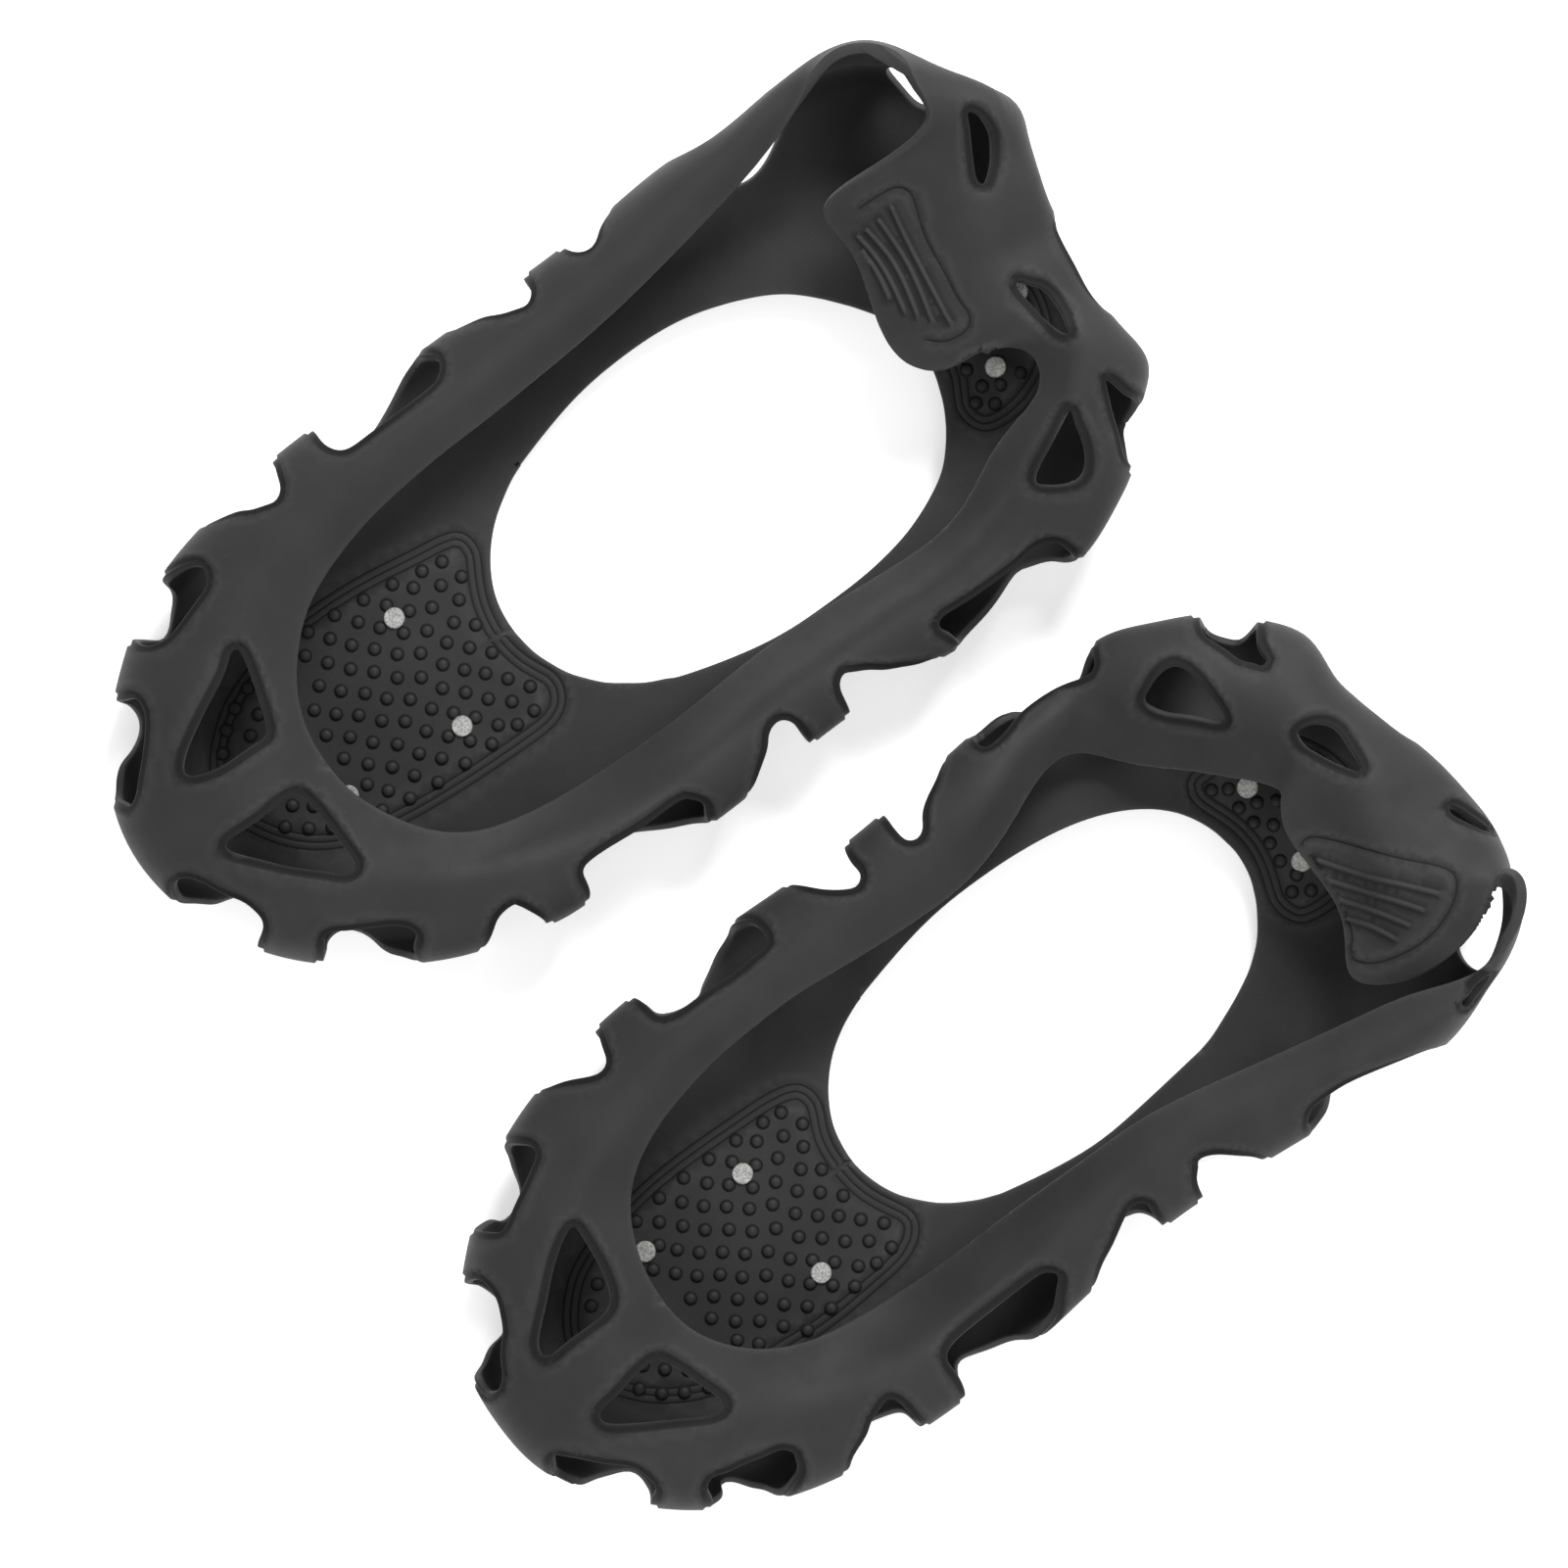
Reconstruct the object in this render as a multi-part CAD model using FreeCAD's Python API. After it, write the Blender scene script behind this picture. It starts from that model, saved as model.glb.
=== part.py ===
import FreeCAD, Part
import math
import os
from bisect import bisect_left, bisect_right

# A pair of slip-on ice cleats: two moulded rubber overshoes with sixteen steel studs.
# Millimetres. +X across the pair, +Y from toe to heel, +Z up, z = 0 at the stud tips.
# The origin is the middle of the pair on the ground; the right overshoe lies at -X.

# ---------------------------------------------------------------- rubber
SOLE_THICK = 3.0
WALL_THICK = 2.4          # side walls, toe cap, heel wall and pull tab
THICK_CHANGE = (0.30, 0.44)  # places across the wall where sole thickness fades to wall
SOLE_BOTTOM_Z = 5.0
SOLE_MID_Z = SOLE_BOTTOM_Z + SOLE_THICK / 2
OUTLINE_INSET = WALL_THICK / 2  # brings the measured outer faces to mid-wall
PAD_BOTTOM_Z = 3.6        # ground face of the tread pads
BOSS_BOTTOM_Z = 2.6       # ground face of the boss round each stud
BOSS_DIA = 12.0

# Control rows worked out between the measured lines
SOLE_EDGE_LIFT = 0.2      # sole edge above the middle of the sole
LOWER_REACH = 0.72        # lower wall: share of the way from sole edge to widest line
LOWER_RISE = 0.36
SHOULDER_REACH = 0.20     # shoulder: share of the way from widest line to crest
SHOULDER_RISE = 0.58
UPPER_LIFT = 1.0          # upper wall above the middle of crest and rim

# ---------------------------------------------------------------- studs
STUD_TIP_DIA = 2.8
STUD_TIP_CHAMFER = 0.3
STUD_CONE_DIA = 5.2
STUD_CONE_TOP_Z = 2.2
STUD_FLANGE_DIA = 9.0
STUD_FLANGE_THICK = 1.2
STUD_FLANGE_TOP_Z = SOLE_BOTTOM_Z + STUD_FLANGE_THICK
STUD_NECK_DIA = 4.0
STUD_TAIL_DIA = 4.6
STUD_TAIL_CHAMFER = 0.2
STUD_TAIL_Z = 8.1         # underside of the flat tail
STUD_TAIL_TOP_Z = 8.9
SEAT_CLEAR = 0.05         # room between a stud and the rubber moulded round it
SEAT_PAST_BOSS = 1.0      # how far the seat tool runs out below the boss
SEAT_PAST_TAIL = 3.0      # and above the tail

# ---------------------------------------------------------------- divisions
JOINT_GAP = 0.6           # half gap where the moulding is divided at a bend
OVERRUN = 4.0             # a surface is built this far past its division, then trimmed
SLAB_REACH = 200.0        # half size in X and Y of the trimming slabs
SLAB_BOTTOM_Z = -20.0
SLAB_HIGH = 120.0
FLAP_ROW = 0.66           # place across the wall where the back wall starts
TAB_ROW = 0.82            # and where the pull tab starts
FLAP_SIDE_GAP = 1.8       # gap beside the back wall
FLAP_ROW_GAP = 0.03       # gap below it, as a share of the wall
TAB_SIDE_GAP = 0.7
TAB_ROW_GAP = 0.012

TOOL_MARGIN = 3.0         # an opening tool runs this far past the wall on each side
TOOL_MIN_EDGE = 0.4       # outline points closer than this are merged

# Place across the wall of the nine control rows: window edge, sole, sole edge, lower wall,
# widest line, shoulder, crest, upper wall, rim
ROWS = (0.0, 0.17, 0.34, 0.43, 0.52, 0.61, 0.73, 0.865, 1.0)

# Places across the wall at which the faceted solids are divided
FACET_ROWS = (0.0, 0.16, 0.32, 0.40, 0.46, 0.52, 0.58, 0.65, 0.74, 0.87, 1.0)
HEEL_ROWS = (0.0, 0.16, 0.32, 0.40, 0.46, 0.52, 0.58, FLAP_ROW, 0.74, TAB_ROW, 0.91, 1.0)
BACK_WALL_ROWS = (FLAP_ROW + FLAP_ROW_GAP, 0.74, TAB_ROW, 0.91, 1.0)
TAB_ROWS = (TAB_ROW + TAB_ROW_GAP, 0.88, 0.94, 1.0)

FORE_STUDS = ("toe_ball_stud_outer", "toe_ball_stud_inner",
              "toe_mid_stud_outer", "toe_mid_stud_inner", "toe_tip_stud")
HEEL_STUDS = ("heel_stud_inner", "heel_stud_outer", "heel_rear_stud")

# Stations round each overshoe, from the middle of the toe, past the outer side of the
# right overshoe (or the inner side of the left one), round the heel and back.
# Each station: window edge (x, y), widest line (x, y, z), crest (x, y, z), rim (x, y, z),
# and how far the flat sole stops short of the widest line.
RIGHT_STATIONS = [
    ((-65.2, -24.9), (-70.2, -119.3, 16.0), (-67.2, -100.5, 31.0), (-64.2, -73.5, 28.5), 9.5),
    ((-71.7, -24.0), (-86.2, -115.7, 16.0), (-79.2, -97.5, 31.5), (-73.2, -72.5, 28.5), 9.5),
    ((-77.7, -21.3), (-98.2, -107.5, 16.5), (-89.2, -91.5, 31.5), (-82.2, -68.5, 28.5), 9.5),
    ((-82.7, -17.5), (-107.7, -97.0, 17.0), (-97.7, -83.5, 31.0), (-89.7, -62.0, 28.5), 9.5),
    ((-86.2, -13.7), (-115.0, -86.0, 17.5), (-103.7, -75.5, 30.5), (-94.2, -56.0, 28.5), 9.5),
    ((-88.5, -10.3), (-119.7, -73.0, 18.0), (-108.2, -67.5, 30.0), (-97.2, -49.5, 28.5), 9.5),
    ((-90.0, -7.8), (-122.0, -61.5, 18.0), (-110.7, -58.5, 29.5), (-99.0, -44.0, 28.5), 9.5),
    ((-91.2, -5.5), (-123.7, -49.0, 18.5), (-112.7, -47.5, 29.5), (-100.9, -36.5, 28.5), 9.5),
    ((-92.0, -3.5), (-124.4, -36.0, 18.5), (-114.2, -34.5, 29.5), (-102.2, -27.5, 28.5), 9.5),
    ((-92.4, -2.5), (-124.4, -18.5, 18.5), (-114.4, -17.5, 29.5), (-103.3, -14.5, 28.2), 9.5),
    ((-92.8, -1.5), (-124.2, -1.5, 18.5), (-114.2, -1.5, 29.5), (-103.7, -1.5, 28.0), 9.5),
    ((-96.5, 12.5), (-124.2, 12.5, 18.5), (-114.7, 12.5, 29.5), (-104.4, 12.5, 28.0), 9.5),
    ((-98.2, 28.5), (-124.2, 28.5, 18.5), (-115.2, 28.5, 30.0), (-105.5, 28.5, 28.5), 9.5),
    ((-97.0, 44.5), (-124.6, 44.5, 19.0), (-116.2, 44.5, 31.0), (-107.4, 44.5, 30.0), 10.0),
    ((-92.7, 57.5), (-125.4, 58.5, 19.0), (-118.2, 58.5, 33.0), (-109.6, 58.5, 32.0), 11.5),
    ((-88.2, 65.5), (-124.8, 71.5, 20.0), (-119.2, 71.5, 35.0), (-112.0, 71.5, 34.0), 13.0),
    ((-83.7, 70.3), (-124.5, 82.5, 20.0), (-121.2, 82.5, 37.0), (-114.7, 82.5, 37.0), 13.0),
    ((-79.7, 73.7), (-124.2, 93.0, 20.0), (-122.7, 93.0, 36.0), (-118.2, 92.5, 40.0), 13.0),
    ((-76.7, 76.0), (-122.2, 102.0, 20.0), (-122.5, 101.5, 34.0), (-121.0, 100.5, 42.0), 13.0),
    ((-74.2, 77.7), (-118.2, 109.5, 20.0), (-119.5, 109.0, 34.0), (-119.2, 107.5, 43.0), 13.0),
    ((-72.0, 79.1), (-111.2, 116.0, 21.0), (-113.2, 114.5, 34.0), (-113.2, 112.3, 43.0), 12.5),
    ((-69.7, 80.1), (-102.2, 122.0, 22.0), (-104.2, 119.5, 35.0), (-105.7, 112.0, 43.0), 12.5),
    ((-67.7, 80.9), (-93.2, 127.9, 24.0), (-94.7, 123.5, 37.0), (-98.7, 110.0, 41.0), 13.0),
    ((-65.7, 81.5), (-85.2, 126.8, 25.0), (-87.7, 114.5, 36.0), (-97.7, 95.5, 35.0), 13.0),
    ((-64.2, 81.8), (-78.2, 124.3, 25.0), (-81.2, 110.5, 35.0), (-97.2, 82.0, 29.0), 12.5),
    ((-62.2, 81.9), (-71.2, 122.1, 25.0), (-73.2, 107.5, 34.0), (-87.2, 81.5, 27.0), 12.0),
    ((-60.2, 81.9), (-64.2, 121.0, 24.0), (-67.2, 105.5, 33.0), (-73.2, 77.8, 27.0), 12.0),
    ((-58.2, 81.7), (-57.2, 120.3, 24.0), (-61.2, 104.5, 33.0), (-61.2, 76.6, 27.0), 12.0),
    ((-55.2, 81.1), (-51.2, 119.5, 23.0), (-54.2, 105.5, 33.0), (-54.0, 83.0, 28.0), 12.0),
    ((-52.2, 80.1), (-44.2, 118.5, 23.0), (-48.2, 108.5, 34.0), (-52.1, 93.0, 31.0), 12.0),
    ((-49.2, 78.9), (-37.2, 118.8, 23.0), (-40.7, 110.5, 34.0), (-46.2, 99.3, 31.0), 12.5),
    ((-46.2, 77.3), (-29.2, 118.5, 22.0), (-34.2, 106.5, 34.0), (-39.2, 96.8, 29.0), 13.0),
    ((-43.2, 75.3), (-22.7, 111.5, 22.0), (-30.2, 101.5, 33.5), (-36.2, 89.5, 27.0), 13.0),
    ((-40.2, 72.8), (-15.2, 105.0, 21.0), (-26.7, 94.5, 33.0), (-34.2, 82.0, 25.0), 13.0),
    ((-37.2, 69.5), (-9.2, 95.5, 20.0), (-22.2, 85.5, 31.0), (-30.7, 74.5, 22.0), 13.0),
    ((-34.4, 64.5), (-4.4, 82.5, 19.0), (-18.2, 75.5, 28.0), (-27.7, 67.5, 18.0), 13.0),
    ((-32.2, 59.0), (-4.0, 67.5, 18.0), (-15.7, 65.5, 26.0), (-26.2, 60.0, 14.0), 12.0),
    ((-30.4, 52.0), (-4.2, 53.5, 17.5), (-15.2, 53.0, 25.0), (-26.2, 51.5, 11.5), 10.5),
    ((-29.4, 44.5), (-5.0, 44.5, 17.0), (-15.7, 44.5, 24.5), (-26.7, 44.5, 10.8), 9.5),
    ((-29.1, 32.5), (-6.2, 32.5, 17.0), (-16.2, 32.5, 24.5), (-27.8, 32.5, 10.6), 9.5),
    ((-30.2, 17.5), (-6.6, 17.5, 17.0), (-16.7, 17.5, 24.5), (-28.5, 17.5, 10.6), 9.5),
    ((-35.2, -1.5), (-5.8, -1.5, 17.0), (-16.2, -1.5, 24.5), (-27.8, -1.5, 10.6), 9.5),
    ((-36.4, -4.0), (-5.5, -14.5, 17.0), (-15.7, -14.5, 25.0), (-27.5, -11.5, 10.8), 9.5),
    ((-37.7, -6.8), (-6.5, -28.5, 17.0), (-16.2, -27.5, 25.5), (-27.8, -22.5, 11.7), 9.5),
    ((-39.2, -9.5), (-7.8, -41.0, 17.5), (-17.7, -39.5, 26.5), (-28.4, -31.5, 14.0), 9.5),
    ((-41.2, -12.3), (-8.2, -52.5, 17.5), (-19.7, -49.5, 28.0), (-29.4, -40.5, 18.0), 9.5),
    ((-43.7, -15.5), (-11.0, -64.0, 17.5), (-22.7, -59.5, 29.0), (-31.2, -49.0, 22.0), 9.5),
    ((-46.7, -18.2), (-15.0, -76.0, 17.5), (-27.2, -70.0, 30.0), (-34.2, -57.0, 25.5), 9.5),
    ((-50.2, -20.8), (-21.7, -88.0, 17.0), (-33.2, -79.5, 31.0), (-39.2, -63.5, 27.5), 9.5),
    ((-54.2, -22.7), (-30.7, -100.0, 16.5), (-41.2, -88.0, 31.5), (-46.2, -68.5, 28.3), 9.5),
    ((-58.2, -24.1), (-42.7, -110.5, 16.0), (-50.2, -95.5, 31.5), (-54.2, -72.1, 28.5), 9.5),
    ((-61.9, -24.7), (-56.2, -117.0, 16.0), (-58.7, -99.0, 31.2), (-59.2, -73.2, 28.5), 9.5),
]

LEFT_STATIONS = [
    ((70.8, -33.8), (72.8, -128.5, 16.0), (71.3, -109.5, 31.0), (69.8, -83.5, 28.5), 9.5),
    ((63.8, -32.9), (58.8, -127.0, 16.0), (61.3, -108.5, 31.5), (60.8, -82.3, 28.5), 9.5),
    ((58.3, -30.5), (47.3, -121.0, 16.0), (53.3, -104.5, 31.5), (52.3, -78.8, 28.5), 9.5),
    ((53.8, -27.3), (36.8, -111.0, 16.5), (45.3, -98.0, 31.3), (45.8, -73.5, 28.5), 9.5),
    ((50.1, -23.5), (27.8, -99.5, 17.0), (38.8, -90.5, 31.0), (41.6, -67.0, 28.5), 9.5),
    ((47.8, -20.2), (21.6, -87.5, 17.5), (34.3, -81.5, 30.5), (38.8, -60.0, 28.5), 9.5),
    ((46.3, -17.5), (17.8, -74.5, 18.0), (30.3, -71.5, 30.0), (37.0, -53.0, 28.5), 9.5),
    ((45.1, -14.8), (15.5, -62.0, 18.3), (26.8, -60.0, 29.5), (35.5, -45.0, 28.5), 9.5),
    ((44.3, -12.7), (14.2, -45.5, 18.5), (24.8, -43.5, 29.5), (34.6, -33.5, 28.5), 9.5),
    ((43.9, -11.5), (14.0, -28.5, 18.5), (24.3, -26.5, 29.5), (34.4, -21.5, 28.5), 9.5),
    ((43.5, -10.5), (14.4, -10.5, 18.5), (24.1, -10.5, 29.5), (35.4, -10.5, 28.3), 9.5),
    ((39.4, 7.5), (14.7, 7.5, 18.5), (24.3, 7.5, 29.5), (36.7, 7.5, 28.0), 9.5),
    ((38.3, 22.5), (13.6, 22.5, 18.5), (23.3, 22.5, 29.5), (36.2, 22.5, 27.0), 9.5),
    ((39.2, 38.5), (12.2, 38.5, 18.0), (21.6, 38.5, 28.8), (31.0, 38.5, 23.5), 9.5),
    ((41.1, 48.5), (11.7, 47.5, 18.0), (19.6, 47.5, 27.0), (27.4, 47.5, 19.0), 10.5),
    ((44.3, 57.0), (12.6, 57.5, 18.0), (19.3, 56.5, 25.0), (27.4, 56.0, 16.0), 11.5),
    ((47.8, 62.7), (12.4, 67.0, 18.5), (19.3, 64.5, 24.0), (32.3, 61.8, 14.0), 12.5),
    ((51.3, 66.5), (11.8, 76.0, 19.0), (20.8, 72.5, 27.0), (38.8, 67.3, 17.0), 13.0),
    ((54.8, 69.0), (15.8, 87.0, 20.0), (26.3, 81.5, 31.0), (45.3, 74.2, 21.0), 13.0),
    ((57.8, 70.5), (21.3, 97.5, 21.0), (32.8, 88.5, 33.0), (51.3, 80.0, 24.5), 13.0),
    ((60.8, 71.5), (29.3, 106.0, 22.0), (39.8, 95.0, 34.0), (57.1, 85.3, 27.5), 13.0),
    ((63.3, 72.0), (37.8, 111.4, 22.0), (46.8, 99.5, 34.5), (61.8, 87.3, 29.5), 12.5),
    ((65.8, 72.4), (47.3, 111.0, 23.0), (53.8, 101.0, 35.0), (65.8, 84.1, 30.0), 12.0),
    ((68.3, 72.4), (56.8, 113.0, 23.0), (62.8, 102.0, 35.5), (72.8, 82.5, 29.5), 12.0),
    ((70.8, 72.1), (65.3, 115.5, 23.5), (71.8, 101.5, 36.5), (81.8, 82.8, 28.0), 12.0),
    ((73.3, 71.5), (72.8, 117.5, 24.0), (79.8, 100.5, 37.0), (90.8, 81.7, 27.0), 12.0),
    ((75.8, 70.5), (79.8, 118.7, 24.0), (86.8, 100.5, 37.5), (97.8, 77.8, 27.0), 12.0),
    ((78.1, 69.4), (86.3, 119.3, 24.0), (91.8, 102.5, 38.0), (102.8, 76.3, 28.0), 12.5),
    ((80.3, 68.0), (92.3, 119.5, 24.0), (95.8, 105.0, 38.5), (108.1, 83.0, 30.0), 13.0),
    ((82.6, 66.4), (97.3, 118.8, 23.5), (98.8, 108.5, 39.0), (110.1, 92.5, 33.0), 13.0),
    ((84.8, 64.5), (101.8, 117.5, 23.0), (101.8, 112.0, 39.0), (107.3, 104.5, 37.0), 13.0),
    ((86.8, 62.2), (106.8, 114.5, 22.0), (106.3, 114.0, 37.0), (101.6, 113.0, 41.0), 13.0),
    ((88.6, 59.8), (111.6, 110.7, 21.5), (110.6, 112.0, 36.0), (103.8, 116.1, 43.0), 13.0),
    ((90.3, 56.8), (115.6, 106.3, 21.0), (114.6, 107.5, 35.0), (109.6, 113.0, 43.5), 13.0),
    ((92.0, 53.3), (119.3, 100.5, 21.0), (117.8, 101.5, 35.0), (113.8, 105.5, 42.0), 13.0),
    ((93.8, 49.0), (122.8, 93.0, 20.5), (119.3, 93.5, 36.5), (115.7, 97.0, 39.0), 13.0),
    ((95.1, 45.7), (125.3, 83.5, 20.0), (119.1, 83.5, 36.0), (112.0, 84.5, 36.5), 13.0),
    ((95.8, 43.5), (125.1, 72.5, 19.5), (117.6, 72.5, 34.0), (109.5, 73.5, 33.5), 12.5),
    ((96.3, 41.3), (124.5, 55.5, 19.0), (115.1, 55.5, 31.5), (106.3, 56.5, 30.5), 11.0),
    ((96.7, 38.5), (123.3, 38.5, 18.5), (112.6, 38.5, 30.0), (102.6, 38.5, 28.5), 9.5),
    ((98.6, 22.5), (122.0, 22.5, 18.5), (111.3, 22.5, 29.5), (99.9, 22.5, 27.5), 9.5),
    ((99.1, 7.5), (122.0, 7.5, 18.3), (111.1, 7.5, 28.0), (99.8, 7.5, 24.0), 9.5),
    ((96.2, -10.5), (123.8, -10.5, 18.0), (112.3, -10.5, 26.5), (100.2, -10.5, 17.0), 9.5),
    ((95.5, -13.0), (125.4, -25.5, 18.0), (113.8, -24.5, 26.0), (100.6, -21.5, 13.5), 9.5),
    ((94.5, -15.7), (126.0, -40.0, 18.0), (114.3, -38.5, 26.0), (100.7, -32.5, 13.0), 9.5),
    ((93.2, -18.4), (125.8, -53.5, 18.0), (114.1, -50.5, 26.8), (100.0, -42.5, 14.5), 9.5),
    ((91.4, -21.5), (124.6, -67.5, 18.0), (112.3, -63.0, 28.0), (98.8, -52.0, 18.0), 9.5),
    ((89.0, -24.7), (122.3, -81.0, 17.5), (108.8, -74.5, 29.3), (97.0, -60.5, 22.0), 9.5),
    ((86.1, -27.5), (117.3, -94.5, 17.5), (104.3, -85.5, 30.5), (94.1, -68.0, 25.5), 9.5),
    ((82.8, -30.1), (108.8, -108.0, 17.0), (97.8, -95.5, 31.2), (89.3, -75.0, 27.7), 9.5),
    ((78.8, -32.1), (98.3, -118.5, 16.5), (90.3, -103.0, 31.5), (83.3, -80.0, 28.5), 9.5),
    ((74.8, -33.3), (85.3, -126.5, 16.0), (81.3, -107.5, 31.3), (76.8, -82.8, 28.5), 9.5),
]

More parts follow.
